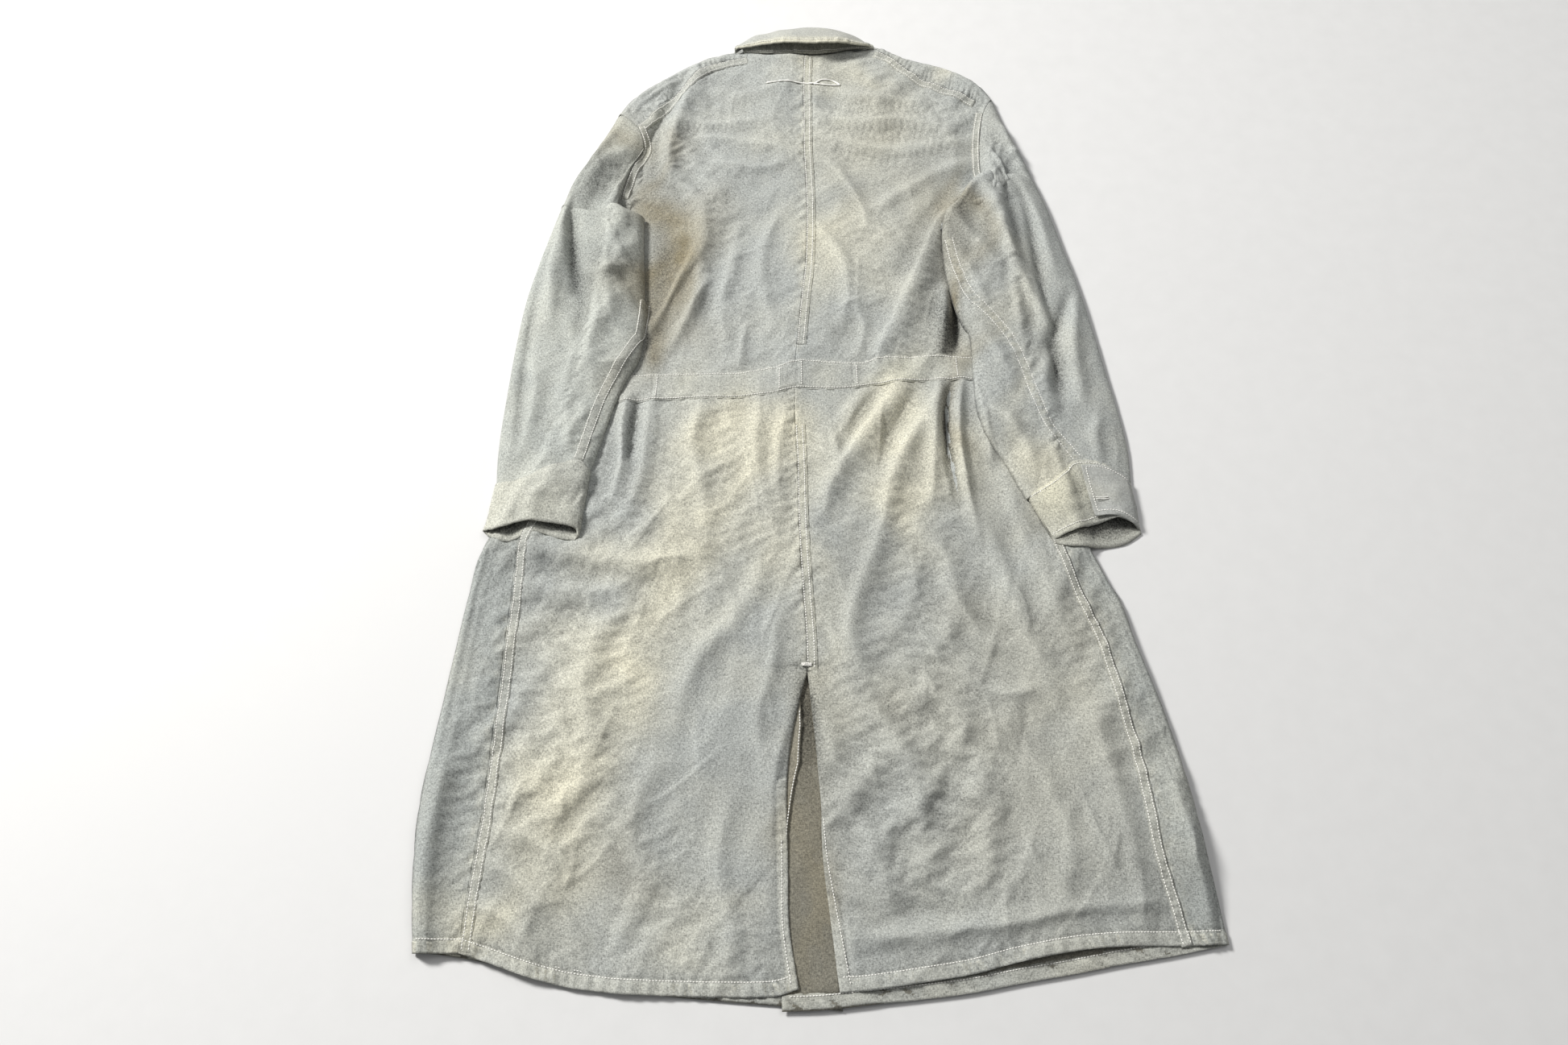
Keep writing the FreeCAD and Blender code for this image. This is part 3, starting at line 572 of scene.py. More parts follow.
def stitches(name: str, rows: Sequence[Array], finish: Material, pitch: float = 3.2,
             seed: int = 1) -> Thing:
    """Rows of stitches that follow lines in space.

    A stitch lies every pitch along each line, pointing along it, with its own small turn.

    Args:
        name: the piece's name.
        rows: lines of (n, 3) points on the cloth, in millimetres.
        finish: the thread's material.
        pitch: from one stitch to the next.
        seed: picks the small turns.

    Returns:
        One object with all the stitches.
    """
    rng = np.random.default_rng(seed)
    places, ahead = [], []
    for row in rows:
        arc = np.concatenate([[0], np.cumsum(np.linalg.norm(np.diff(row, axis=0), axis=1))])
        s = np.arange(pitch / 2, arc[-1], pitch)
        at = [np.stack([np.interp(s + k, arc, row[:, i]) for i in range(3)], 1) for k in (-0.8, 0.8)]
        d = at[1] - at[0]
        d[:, :2] += rng.normal(0, 0.07, (len(s), 2))
        places.append(0.5 * (at[0] + at[1]) + np.array([0, 0, 0.12]))
        ahead.append(d / np.linalg.norm(d, axis=1, keepdims=True))
    places, ahead = np.concatenate(places), np.concatenate(ahead)
    side = np.cross(np.array([0, 0, 1.0]), ahead)
    side /= np.linalg.norm(side, axis=1, keepdims=True) + 1e-9
    return copies(name, finish, STITCH, STITCH_FACES, places, ahead, np.cross(ahead, side))


# ---------------------------------------------------------------- shader groups
def group(name: str, inputs: dict[str, tuple[str, object]], outputs: dict[str, str]
          ) -> Tree:
    """An empty shader node group with named inputs and outputs, and its two end nodes."""
    tree = bpy.data.node_groups.new(name, "ShaderNodeTree")
    for key, (kind, value) in inputs.items():
        socket = tree.interface.new_socket(key, in_out="INPUT", socket_type="NodeSocket" + kind)
        if value is not None:
            socket.default_value = value
    for key, kind in outputs.items():
        tree.interface.new_socket(key, in_out="OUTPUT", socket_type="NodeSocket" + kind)
    tree.nodes.new("NodeGroupInput").name = "in"
    tree.nodes.new("NodeGroupOutput").name = "out"
    return tree


def node(tree: Tree, kind: str, values: dict[object, object], **settings: object
         ) -> bpy.types.Node:
    """One shader node with its settings, and its inputs linked or set.

    Args:
        tree: where it is made.
        kind: its type, less the words ShaderNode.
        values: a socket to link or a value to set, by the input's name or number.
        settings: its own properties.

    Returns:
        The node.
    """
    made = tree.nodes.new("ShaderNode" + kind)
    for key, value in settings.items():
        setattr(made, key, value)
    for key, value in values.items():
        if isinstance(value, Socket):
            tree.links.new(value, made.inputs[key])
        elif value is not None:
            made.inputs[key].default_value = value
    return made


def noise(tree: Tree, vector: Socket, scale: tuple[float, float, float],
          detail: float = 3.0, rough: float = 0.55) -> Socket:
    """A noise value read at a vector stretched by scale."""
    place = node(tree, "Mapping", {"Vector": vector, "Scale": scale})
    return node(tree, "TexNoise", {"Vector": place.outputs["Vector"], "Scale": 1.0, "Detail": detail,
                                   "Roughness": rough}).outputs["Fac"]


def math_node(tree: Tree, kind: str, a: object, b: object = None) -> Socket:
    """One math step on sockets or numbers."""
    return node(tree, "Math", {0: a, 1: b}, operation=kind).outputs[0]


def span(tree: Tree, value: Socket, low: float, high: float, to_low: float, to_high: float
         ) -> Socket:
    """A value taken from one range to another, held at its ends."""
    return node(tree, "MapRange", {"Value": value, "From Min": low, "From Max": high,
                                   "To Min": to_low, "To Max": to_high}).outputs["Result"]


def blend_colour(tree: Tree, share: object, a: object, b: object, kind: str = "MIX") -> Socket:
    """Two colours mixed by a share."""
    return node(tree, "Mix", {0: share, 6: a, 7: b}, data_type="RGBA", blend_type=kind).outputs[2]


def finish_group(tree: Tree, results: dict[str, Socket]) -> Tree:
    """Links a group's results to its outputs, and gives the group back."""
    for key, socket in results.items():
        tree.links.new(socket, tree.nodes["out"].inputs[key])
    return tree


def weave_group() -> Tree:
    """Two crossed sets of threads, light and dark at random: a heathered work cloth.

    Each set is a noise drawn out along its threads. The tint is their sum, and the height is the
    higher of the two with a finer nap added.
    """
    tree = group("woven cloth", {"Vector": ("Vector", None), "Thread": ("Float", 0.0011)},
                 {"Tint": "Float", "Height": "Float", "Mottle": "Float"})
    v = tree.nodes["in"].outputs["Vector"]
    warp = noise(tree, v, (1000, 360, 1), 2.0, 0.7)
    weft = noise(tree, v, (400, 950, 1), 2.0, 0.7)
    nap = noise(tree, v, (2300, 2300, 1), 2.0, 0.7)
    slub = noise(tree, v, (520, 260, 1), 3.0, 0.7)
    slub2 = noise(tree, v, (240, 480, 1), 3.0, 0.7)
    slubs = math_node(tree, "MULTIPLY", math_node(tree, "ADD", slub, slub2), 0.7)
    tint = math_node(tree, "ADD", math_node(tree, "ADD", warp, weft), slubs)
    high = math_node(tree, "ADD", math_node(tree, "MAXIMUM", warp, weft),
                     math_node(tree, "MULTIPLY", nap, 0.5))
    return finish_group(tree, {"Tint": span(tree, tint, 1.38, 2.02, -1, 1), "Height": high,
                               "Mottle": noise(tree, v, (26, 22, 1), 5.0, 0.62)})


def crush_group() -> Tree:
    """Small crushed facets: the distance to the nearest of many random places, at two sizes.

    Cells of 26 mm and 11 mm, drawn out in two directions, are bent by a noise, and a slow noise
    makes them stronger in some places. The height is in millimetres.
    """
    tree = group("crushed cloth", {"Vector": ("Vector", None)}, {"Height": "Float"})
    v = tree.nodes["in"].outputs["Vector"]
    wave = node(tree, "TexNoise", {"Vector": v, "Scale": 30.0, "Detail": 3.0})
    shift = node(tree, "VectorMath", {0: wave.outputs["Color"], 1: (0.016, 0.016, 0), 2: v},
                 operation="MULTIPLY_ADD")
    parts = []
    for turn, scale, rise in ((0.5, (48, 27, 1), 1.9), (-0.4, (74, 118, 1), 0.75)):
        place = node(tree, "Mapping", {"Vector": shift.outputs[0], "Scale": scale,
                                       "Rotation": (0, 0, turn)})
        cell = node(tree, "TexVoronoi", {"Vector": place.outputs["Vector"], "Scale": 1.0})
        much = span(tree, noise(tree, v, (9 + turn, 7, 1), 2.0), 0.36, 0.66, 0.15 * rise, rise)
        parts.append(math_node(tree, "MULTIPLY", cell.outputs["Distance"], much))
    return finish_group(tree, {"Height": math_node(tree, "ADD", *parts)})


def wear_and_shade_group() -> Tree:
    """Colour after sun, dirt, rubbing and painted shade.

    Fade mixes towards a sun-bleached colour; stain towards a brown one, which stands for real stains
    and also for painted shade beside the sleeves and in the pleats; wear lightens ridges and darkens
    hollows, partly rubbing and partly painted highlight and shade; shade darkens as painted shade;
    and tint scatters the threads' own lights and darks.
    """
    tree = group("sun, wear and painted shade",
                 {"Cloth": ("Color", (0.4, 0.4, 0.4, 1)), "Faded": ("Color", (0.6, 0.6, 0.5, 1)),
                  "Dirt": ("Color", (0.3, 0.27, 0.2, 1)), "Fade": ("Float", 0.0),
                  "Stain_and_shade": ("Float", 0.0), "Wear_and_relief_shading": ("Float", 0.0), "Shade": ("Float", 0.0),
                  "Tint": ("Float", 0.0), "Mottle": ("Float", 0.5), "Contrast": ("Float", 0.3)},
                 {"Color": "Color", "Rough": "Float"})
    i, n = tree.nodes["in"].outputs, math_node
    patchy = span(tree, i["Mottle"], 0.32, 0.68, -0.22, 0.22)
    fade = n(tree, "ADD", i["Fade"], n(tree, "MULTIPLY", patchy, 0.3))
    fade.node.use_clamp = True
    colour = blend_colour(tree, fade, i["Cloth"], i["Faded"])
    # Brown mix: real stains, and painted shade beside the sleeves and in the pleats.
    stain_and_shade = n(tree, "MULTIPLY", i["Stain_and_shade"], span(tree, i["Mottle"], 0.3, 0.7, 1.2, 0.7))
    stain_and_shade.node.use_clamp = True
    colour = blend_colour(tree, stain_and_shade, colour, i["Dirt"])
    # Ridges lighter and hollows darker from the wear value: painted highlight and shade with some
    # rubbing; the Shade input is painted shade.
    light = n(tree, "ADD", n(tree, "MULTIPLY", i["Tint"], i["Contrast"]),
              n(tree, "MULTIPLY", i["Wear_and_relief_shading"], 0.16))
    light = n(tree, "ADD", light, n(tree, "MULTIPLY", patchy, 0.25))
    light = n(tree, "SUBTRACT", light, i["Shade"])
    gain = n(tree, "MAXIMUM", n(tree, "ADD", light, 1.0), 0.12)
    grey = node(tree, "CombineColor", {0: gain, 1: gain, 2: gain}).outputs[0]
    return finish_group(tree, {"Color": blend_colour(tree, 1.0, colour, grey, "MULTIPLY"),
                               "Rough": span(tree, i["Mottle"], 0.3, 0.7, 0.86, 0.98)})


def bare_material(name: str) -> tuple[Material, Tree, bpy.types.Node]:
    """A new material, its tree and its Principled shader."""
    mat = bpy.data.materials.new(name)
    mat.use_nodes = True
    return mat, mat.node_tree, mat.node_tree.nodes["Principled BSDF"]


def bump(tree: Tree, shader: bpy.types.Node, height: Socket, distance: float) -> None:
    """Bends the shader's normal by a height."""
    made = node(tree, "Bump", {"Height": height, "Distance": distance})
    tree.links.new(made.outputs["Normal"], shader.inputs["Normal"])


@dataclass(frozen=True)
class ClothFinish:
    """The look of one layer of the smock's cloth."""

    name: str
    cloth: tuple[float, float, float] = (0.375, 0.386, 0.362)
    faded: tuple[float, float, float] = (0.60, 0.57, 0.445)
    # The brown of stains; it is also the colour of painted shade in the hollows beside the sleeves and in
    # the pleats.
    dirt: tuple[float, float, float] = (0.27, 0.235, 0.155)
    contrast: float = 0.46
    crush: float = 1.0

    def make(self, groups: dict[str, Tree]) -> Material:
        """The material: weave, then sun, wear and painted shade, then a rough shader with a bump."""
        mat, tree, shader = bare_material(self.name)
        flat = node(tree, "UVMap", {}, uv_map="flat").outputs["UV"]
        weave = node(tree, "Group", {}, node_tree=groups["weave"])
        wear_and_relief_shading = node(tree, "Group", {}, node_tree=groups["wear_and_relief_shading"])
        crush = node(tree, "Group", {}, node_tree=groups["crush"])
        for made in (weave, crush):
            tree.links.new(flat, made.inputs["Vector"])
        for key, value in (("Cloth", self.cloth), ("Faded", self.faded), ("Dirt", self.dirt)):
            wear_and_relief_shading.inputs[key].default_value = (*value, 1)
        wear_and_relief_shading.inputs["Contrast"].default_value = self.contrast
        for key in MARKS:
            mark = node(tree, "Attribute", {}, attribute_name=key)
            tree.links.new(mark.outputs["Fac"], wear_and_relief_shading.inputs[key.capitalize()])
        for key in ("Tint", "Mottle"):
            tree.links.new(weave.outputs[key], wear_and_relief_shading.inputs[key])
        high = math_node(tree, "ADD", math_node(tree, "MULTIPLY", weave.outputs["Height"], 0.45),
                         math_node(tree, "MULTIPLY", crush.outputs["Height"], self.crush))
        bump(tree, shader, high, 0.001)
        tree.links.new(wear_and_relief_shading.outputs["Color"], shader.inputs["Base Color"])
        tree.links.new(wear_and_relief_shading.outputs["Rough"], shader.inputs["Roughness"])
        for key, value in (("Specular IOR Level", 0.12), ("Sheen Weight", 0.10),
                           ("Sheen Roughness", 0.5)):
            shader.inputs[key].default_value = value
        return mat


@dataclass(frozen=True)
class PlainFinish:
    """A plain material with a fine noise in its colour, roughness and bump."""

    name: str
    colour: tuple[float, float, float]
    second: tuple[float, float, float]
    rough: float = 0.8
    grain: float = 900.0
    bump: float = 0.0002

    def make(self) -> Material:
        """The material, with its grain read in Object coordinates."""
        mat, tree, shader = bare_material(self.name)
        place = tree.nodes.new("ShaderNodeTexCoord").outputs["Object"]
        value = noise(tree, place, (self.grain,) * 3, 3.0, 0.6)
        colour = blend_colour(tree, span(tree, value, 0.3, 0.7, 0, 1), (*self.colour, 1),
                              (*self.second, 1))
        tree.links.new(colour, shader.inputs["Base Color"])
        tree.links.new(span(tree, value, 0.3, 0.7, self.rough - 0.08, self.rough + 0.08),
                       shader.inputs["Roughness"])
        bump(tree, shader, value, self.bump)
        return mat


# ---------------------------------------------------------------- pattern lines of the smock
LEFT_SIDE = [
    (-403.8, -588.3), (-410, -541.1), (-414, -491.5), (-414.5, -441.9), (-410, -392.2), (-403.1, -332.7),
    (-396.1, -273.2), (-387.2, -203.7), (-378.3, -154.1), (-353.5, -104.5), (-326.7, -54.9),
    (-297.9, 14.5), (-282, 66)]
LEFT_FLANK = [
    (-282, 66), (-272.1, 143.5), (-262.2, 242.7), (-254.2, 337), (-241.7, 368.4), (-232.8, 398.1),
    (-219.9, 429.7), (-229.8, 461.4), (-257.5, 487.9)]
RIGHT_SIDE = [
    (414.5, -579.8), (411.5, -551), (406.5, -501.4), (400.6, -451.8), (392.6, -402.2), (383.7, -357.5),
    (372.8, -312.9), (358.9, -263.3), (348, -218.6), (335.1, -188.9), (321.2, -154.1), (308.3, -114.4),
    (293.4, -54.9), (281.5, 14.5), (269.6, 74.1)]
RIGHT_FLANK = [
    (269.6, 74.1), (263.7, 143.5), (255.7, 242.7), (247.8, 337), (236, 358.5), (229.1, 388.2),
    (230.1, 427.8), (233.1, 457.4), (239, 487.1), (252.8, 514.7)]
LEFT_SEAM = [
    (-356.6, -588), (-352.7, -532), (-347.7, -472.8), (-344.8, -403.7), (-341.8, -305), (-337.9, -206.4),
    (-334.9, -147.1), (-320.1, -107.7), (-298.4, -58.3), (-270.8, 10.7), (-253, 60)]
LEFT_SEAM_UP = [
    (-253, 60), (-245.1, 139), (-237.2, 237.7), (-231.3, 331.4), (-212, 400), (-203, 440), (-203, 500),
    (-192.7, 556.3)]
RIGHT_SEAM = [
    (378.5, -581), (370.6, -541.8), (360.7, -492.5), (354.8, -433.3), (349.8, -384), (341, -334.6),
    (331.1, -285.3), (321.2, -245.8), (306.4, -206.4), (291.6, -157), (281.8, -117.5), (269.9, -58.3),
    (256.1, 10.7), (246, 79)]
RIGHT_SEAM_UP = [
    (246, 79), (240.3, 139), (234.4, 237.7), (226, 331.4), (212, 390), (211, 440), (211, 500),
    (204.1, 565.2)]
CENTRE = [
    (-6.3, -297.5), (-7.3, -255.7), (-10.3, -206.4), (-13.3, -157), (-15.2, -107.7), (-16.2, -38.6),
    (-18.2, 10.7), (-19.2, 77)]
CENTRE_UP = [
    (-19.2, 77), (-16.2, 119.3), (-10.3, 188.3), (-4.4, 247.5), (-2.4, 326.5), (-3.4, 375.8),
    (-5.4, 425.1), (-5.4, 484.3), (-5.4, 543.5), (-3.4, 588.9)]
LEFT_VENT = [
    (-18.2, -621.5), (-27.1, -561.6), (-28.1, -502.4), (-29, -423.4), (-24.1, -374.1), (-13.8, -324.8),
    (-6.3, -297.5)]
RIGHT_VENT = [
    (23.3, -624.7), (20.3, -601), (13.4, -541.8), (8.5, -492.5), (7.5, -443.2), (3.5, -393.8),
    (-1.4, -344.5), (-6.3, -297.5)]
LEFT_HEM = [
    (-356.6, -588), (-330, -596.1), (-290.5, -608.9), (-251, -618.8), (-217.5, -623.2), (-191.8, -625.7),
    (-142.5, -627.7), (-93.2, -628.7), (-43.8, -628), (-18.2, -621.5)]
RIGHT_HEM = [
    (23.3, -624.7), (54.8, -622.7), (104.2, -615.8), (153.5, -607.9), (202.8, -596.1), (252.2, -587.2),
    (301.5, -582.3), (378.5, -581)]
WAIST_LEFT = [(-253, 60), (-191.8, 58.1), (-142.5, 61), (-93.2, 63), (-53.7, 67.9), (-19.2, 77)]
WAIST_RIGHT = [
    (-19.2, 77), (5.5, 80.8), (54.8, 78.8), (114, 83.7), (153.5, 86.7), (202.8, 83.7), (246, 79)]
TOP_LEFT = [
    (-192.7, 556.3), (-153, 581.1), (-123.3, 594), (-91.5, 598.5), (-60, 589.5), (-34, 587.9),
    (-3.4, 588.9)]
TOP_RIGHT = [
    (-3.4, 588.9), (23.3, 589.9), (46.9, 598.8), (66.7, 602.7), (96.6, 607.8), (112.9, 603.9),
    (134.7, 591), (174.4, 578.1), (204.1, 565.2)]
LEFT_TIP = [(-257.5, 487.9), (-232.4, 521.5), (-192.7, 556.3)]
RIGHT_TIP = [(204.1, 565.2), (233.9, 541.4), (252.8, 514.7)]
LEFT_SHOULDER_SEAM = [
    (-83.3, 589.9), (-112.9, 584), (-144.5, 567.2), (-177, 528.7), (-201.7, 499.1), (-229.8, 461.4)]
RIGHT_SHOULDER_SEAM = [
    (96.3, 601.7), (116, 590.9), (133.8, 573.1), (153.5, 556.4), (183.1, 537.6), (239, 505.1)]
LEFT_ARMHOLE = [
    (-257.5, 487.9), (-229.8, 461.4), (-219.9, 429.7), (-232.8, 398.1), (-241.7, 368.4), (-254.2, 337)]
RIGHT_ARMHOLE = [
    (252.8, 514.7), (239, 487.1), (233.1, 457.4), (230.1, 427.8), (229.1, 388.2), (236, 358.5),
    (247.8, 337)]
BAND_TOP = [
    (-258, 75.8), (-231.3, 75.8), (-201.7, 77.8), (-142.5, 79.8), (-93.2, 81.8), (-68.5, 86.7),
    (-38.9, 91.6), (-24.1, 97.5), (5.5, 100.5), (54.8, 96.6), (79.5, 99.5), (114, 102.5), (153.5, 104.5),
    (202.8, 101.5), (250, 99)]
BAND_BOTTOM = [
    (-260, 35.4), (-229.3, 36.4), (-191.8, 38.3), (-142.5, 41.3), (-93.2, 44.3), (-43.8, 50.2),
    (-14.2, 58.1), (35.1, 58.1), (74.6, 63), (114, 66), (153.5, 67.9), (199.9, 67), (252, 64)]
LEFT_FRONT_HEM = [
    (-403.8, -589.3), (-377.9, -590.3), (-333.1, -597.3), (-273.2, -612.2), (-193.5, -624.2),
    (-93.8, -633.1), (5.9, -640.1), (26, -642)]
RIGHT_FRONT_HEM = [
    (-34, -642.4), (5.9, -641.1), (55.7, -636.1), (105.6, -631.1), (155.4, -625.2), (205.3, -616.2),
    (255.1, -608.2), (304.9, -599.2), (354.8, -591.3), (414.5, -580.3)]
BUTTON_YS = (470, 340, 210, -20, -150, -280)
POCKETS = {"left_lower_pocket": (-190, -60, 165, 185), "right_lower_pocket": (190, -60, 165, 185),
           "breast_pocket": (-120, 400, 115, 130)}

BACK_FOLDS = [Fold(*row) for row in (
    ([(206, 352), (165, 300), (138, 235), (108, 165), (84, 108)], 16, 9, 0.35),
    ([(182, 345), (150, 285), (118, 205), (92, 140)], 13, -4),
    ([(183, 190), (182, 150), (180, 112)], 7, -6),
    ([(170, 200), (166, 150), (160, 110)], 9, 5),
    ([(-172, 548), (-192, 490), (-203, 450), (-212, 415), (-214, 370)], 12, -6, 0.2),
    ([(-150, 560), (-168, 505), (-180, 450), (-186, 400), (-180, 350)], 16, 5),
    ([(-190, 345), (-192, 300), (-190, 250), (-184, 200), (-176, 150)], 34, -9),
    ([(-140, 330), (-136, 270), (-142, 210), (-150, 160)], 15, 4),
    ([(-148, 258), (-172, 205), (-196, 140)], 9, 5),
    ([(-130, 215), (-150, 170), (-170, 118)], 8, 3),
    ([(-140, 445), (-80, 436), (-22, 424)], 8, 2.2),
    ([(-120, 400), (-70, 392), (-30, 404)], 7, 1.8),
    ([(-180, 470), (-120, 466), (-60, 476)], 9, 2.0),
    ([(28, 402), (52, 366), (68, 330), (74, 300)], 7, 2.6, 0.3),
    ([(20, 482), (70, 470), (130, 476), (190, 462)], 9, 2.4),
    ([(40, 440), (100, 425), (170, 432)], 8, 1.8),
    ([(210, 400), (170, 385), (120, 352), (90, 330)], 9, 2.5),
    ([(10, 545), (60, 520), (120, 512)], 10, 2.2),
    ([(-30, 540), (-80, 520), (-130, 525)], 10, 2.2),
    ([(14, 300), (40, 250), (48, 200), (40, 150)], 9, 2.4),
    ([(-30, 330), (-55, 280), (-60, 220), (-45, 150)], 10, 2.2),
    ([(-90, 300), (-100, 240), (-110, 180), (-104, 120)], 9, 2.0),
    ([(60, 180), (66, 140), (60, 108)], 7, 2.2),
    ([(-80, 150), (-84, 120), (-86, 92)], 6, 2.0),
)]
SKIRT_FOLDS = [Fold(*row) for row in (
    ([(-222, 44), (-226, 0), (-224, -46), (-232, -90)], 7, 6, 0.3),
    ([(-208, 42), (-210, 0), (-214, -40)], 5, -4),
    ([(-190, 40), (-196, -10), (-200, -60), (-215, -110)], 11, 4),
    ([(172, 66), (166, 36), (163, 0), (166, -50), (174, -96)], 6, -7),
    ([(184, 70), (178, 30), (176, -20), (182, -80), (192, -130)], 9, 6, -0.3),
    ([(156, 66), (150, 20), (146, -30), (140, -90)], 9, 5),
    ([(198, 62), (205, 20), (214, -30)], 6, 5),
    ([(104, 62), (84, 30), (60, -4), (38, -44), (20, -84)], 12, 4.5, 0.3),
    ([(84, 58), (62, 24), (40, -14), (22, -50)], 9, -3),
    ([(158, 56), (134, 16), (110, -24), (94, -64), (82, -104)], 12, 4.5, 0.3),
    ([(128, 60), (112, 26), (96, -6), (78, -50)], 9, -3.2),
    ([(90, -90), (76, -140), (56, -190), (40, -250), (58, -310)], 12, 3.6, 0.2),
    ([(60, 50), (44, 10), (26, -40), (12, -110)], 10, 3.2),
    ([(150, -194), (176, -240), (190, -262), (214, -270)], 9, 3.4),
    ([(188, -316), (214, -322), (242, -316)], 7, 2.8),
    ([(120, -120), (150, -160), (160, -200), (150, -260)], 13, 3.6),
    ([(230, -60), (240, -120), (262, -190), (284, -260)], 14, 4.2, 0.2),
    ([(200, -110), (214, -180), (240, -260), (262, -330)], 13, 3.4),
    ([(60, -330), (90, -380), (110, -440), (112, -500)], 13, 3.2),
    ([(150, -330), (170, -390), (182, -450), (176, -520)], 14, 3.0),
    ([(30, -400), (40, -450), (66, -500), (80, -560)], 11, 2.8),
    ([(230, -380), (250, -430), (262, -480), (250, -540)], 13, 3.2),
    ([(300, -340), (312, -400), (322, -460), (330, -530)], 12, 3.6),
    ([(50, -578), (120, -568), (200, -560), (270, -546), (350, -543)], 8, 3.4, 0.3),
    ([(60, -560), (110, -545), (160, -548)], 8, -2.4),
    ([(398, -572), (394, -530), (386, -480), (376, -420)], 13, 9, 0.2),
    ([(-394, -582), (-398, -530), (-398, -470), (-390, -400)], 15, 8),
    ([(-330, -500), (-300, -520), (-270, -548)], 8, 3.2),
    ([(-340, -540), (-306, -560), (-280, -584)], 8, 3.4),
    ([(-322, -470), (-286, -480), (-250, -506)], 9, 2.4),
    ([(-328, -150), (-270, -160), (-200, -170), (-130, -160)], 14, 3.0),
    ([(-330, -196), (-280, -204), (-220, -200)], 11, 2.2),
    ([(-60, 40), (-66, -20), (-58, -80), (-40, -140)], 11, 2.6),
    ([(-130, 42), (-140, -20), (-128, -80), (-120, -140)], 12, 2.8),
    ([(-30, 30), (-40, -40), (-36, -110)], 8, 2.2),
    ([(-60, -180), (-90, -240), (-130, -290), (-150, -360)], 14, 2.8),
    ([(-40, -230), (-46, -290), (-60, -350), (-52, -420)], 10, 2.8),
    ([(-240, -240), (-250, -310), (-240, -380), (-250, -440)], 14, 2.6),
    ([(-170, -400), (-190, -460), (-180, -520), (-200, -580)], 14, 3.0),
    ([(-90, -440), (-100, -500), (-86, -560), (-90, -610)], 12, 2.8),
    ([(-300, -60), (-320, -110), (-318, -170)], 10, 3.0),
    ([(-14, -305), (-24, -350), (-40, -400), (-44, -460)], 9, 4.2, -0.2),
    ([(0, -305), (10, -350), (24, -400)], 9, 3.6),
)]
# Patches, each as middle x, middle y, half width, half height and strength.
FADE_SPOTS = [
    (-90, 10, 70, 60, 0.75), (-60, -50, 70, 60, 0.75), (-140, -130, 60, 75, 0.6),
    (-170, -200, 60, 70, 0.8), (-210, -290, 60, 80, 0.85), (-262, -390, 60, 80, 0.75),
    (-275, -500, 60, 60, 0.6), (-335, -565, 50, 40, 0.75), (-150, -560, 70, 50, 0.35),
    (30, 270, 60, 80, 0.55), (95, 40, 50, 60, 0.55), (150, -30, 60, 70, 0.6), (30, -290, 45, 90, 0.35),
    (30, 560, 80, 30, 0.35), (-30, -150, 40, 60, 0.4), (270, -80, 26, 60, 0.6), (250, -20, 22, 60, 0.5),
    (80, 440, 70, 50, 0.3), (-20, 480, 120, 60, 0.2), (270, -320, 50, 60, 0.3), (190, 590, 60, 20, 0.5),
    (210, -380, 190, 230, 0.17), (120, 380, 90, 200, 0.2), (110, -90, 40, 70, 0.45),
    (85, -15, 45, 60, 0.6), (-70, -48, 50, 50, 0.5), (262, 180, 40, 60, 0.35), (300, -80, 40, 30, 0.3)]
# Brown patches: partly real stains, and partly painted shade in the hollows beside the sleeves, in the
# underarm slits and in the pleat.
STAIN_AND_SHADE_SPOTS = [
    (-182, 255, 44, 120, 0.95), (-140, 300, 34, 60, 0.3), (-275, 440, 40, 60, 0.5),
    (-186, 130, 26, 50, 0.7), (184, 150, 14, 60, 0.9), (172, 20, 14, 60, 0.5), (206, 330, 24, 50, 0.5),
    (0, -520, 34, 90, 0.35), (-206, 400, 18, 60, 0.35), (196, 250, 22, 90, 0.35),
    (-205, -480, 40, 60, 0.2), (150, 300, 30, 60, 0.2), (-30, -480, 12, 120, 0.3),
    (210, -360, 190, 250, 0.15), (120, 380, 90, 200, 0.14)]


SHADE_SPOTS = [
    (171, 140, 12, 44, 0.8), (164, 10, 4.5, 66, 0.5), (-192, 250, 17, 88, 0.34), (-196, 130, 10, 40, 0.3),
    (-215, 12, 4, 44, 0.35), (196, 300, 12, 60, 0.3), (160, 265, 18, 60, 0.12), (-206, 430, 7, 50, 0.2),
    (-330, -150, 34, 60, 0.12), (150, 190, 22, 60, 0.16), (-8, -345, 16, 62, 0.55),
    (-285, 385, 32, 48, 0.42), (-285, 225, 42, 62, 0.22)]


def spots(x: Array, y: Array, rows: Sequence[tuple[float, ...]], seed: int, bent: float = 16) -> Array:
    """Soft patches: each is a bell round its middle, and a wave sum bends their edges."""
    bend = waves(x, y, 110, seed) * bent
    x, y = x + bend, y + waves(x, y, 90, seed + 1) * bent
    clear = np.ones(np.shape(x))
    for cx, cy, rx, ry, much in rows:
        clear *= 1 - much * np.exp(-(((x - cx) / rx) ** 2 + ((y - cy) / ry) ** 2))
    return 1 - clear


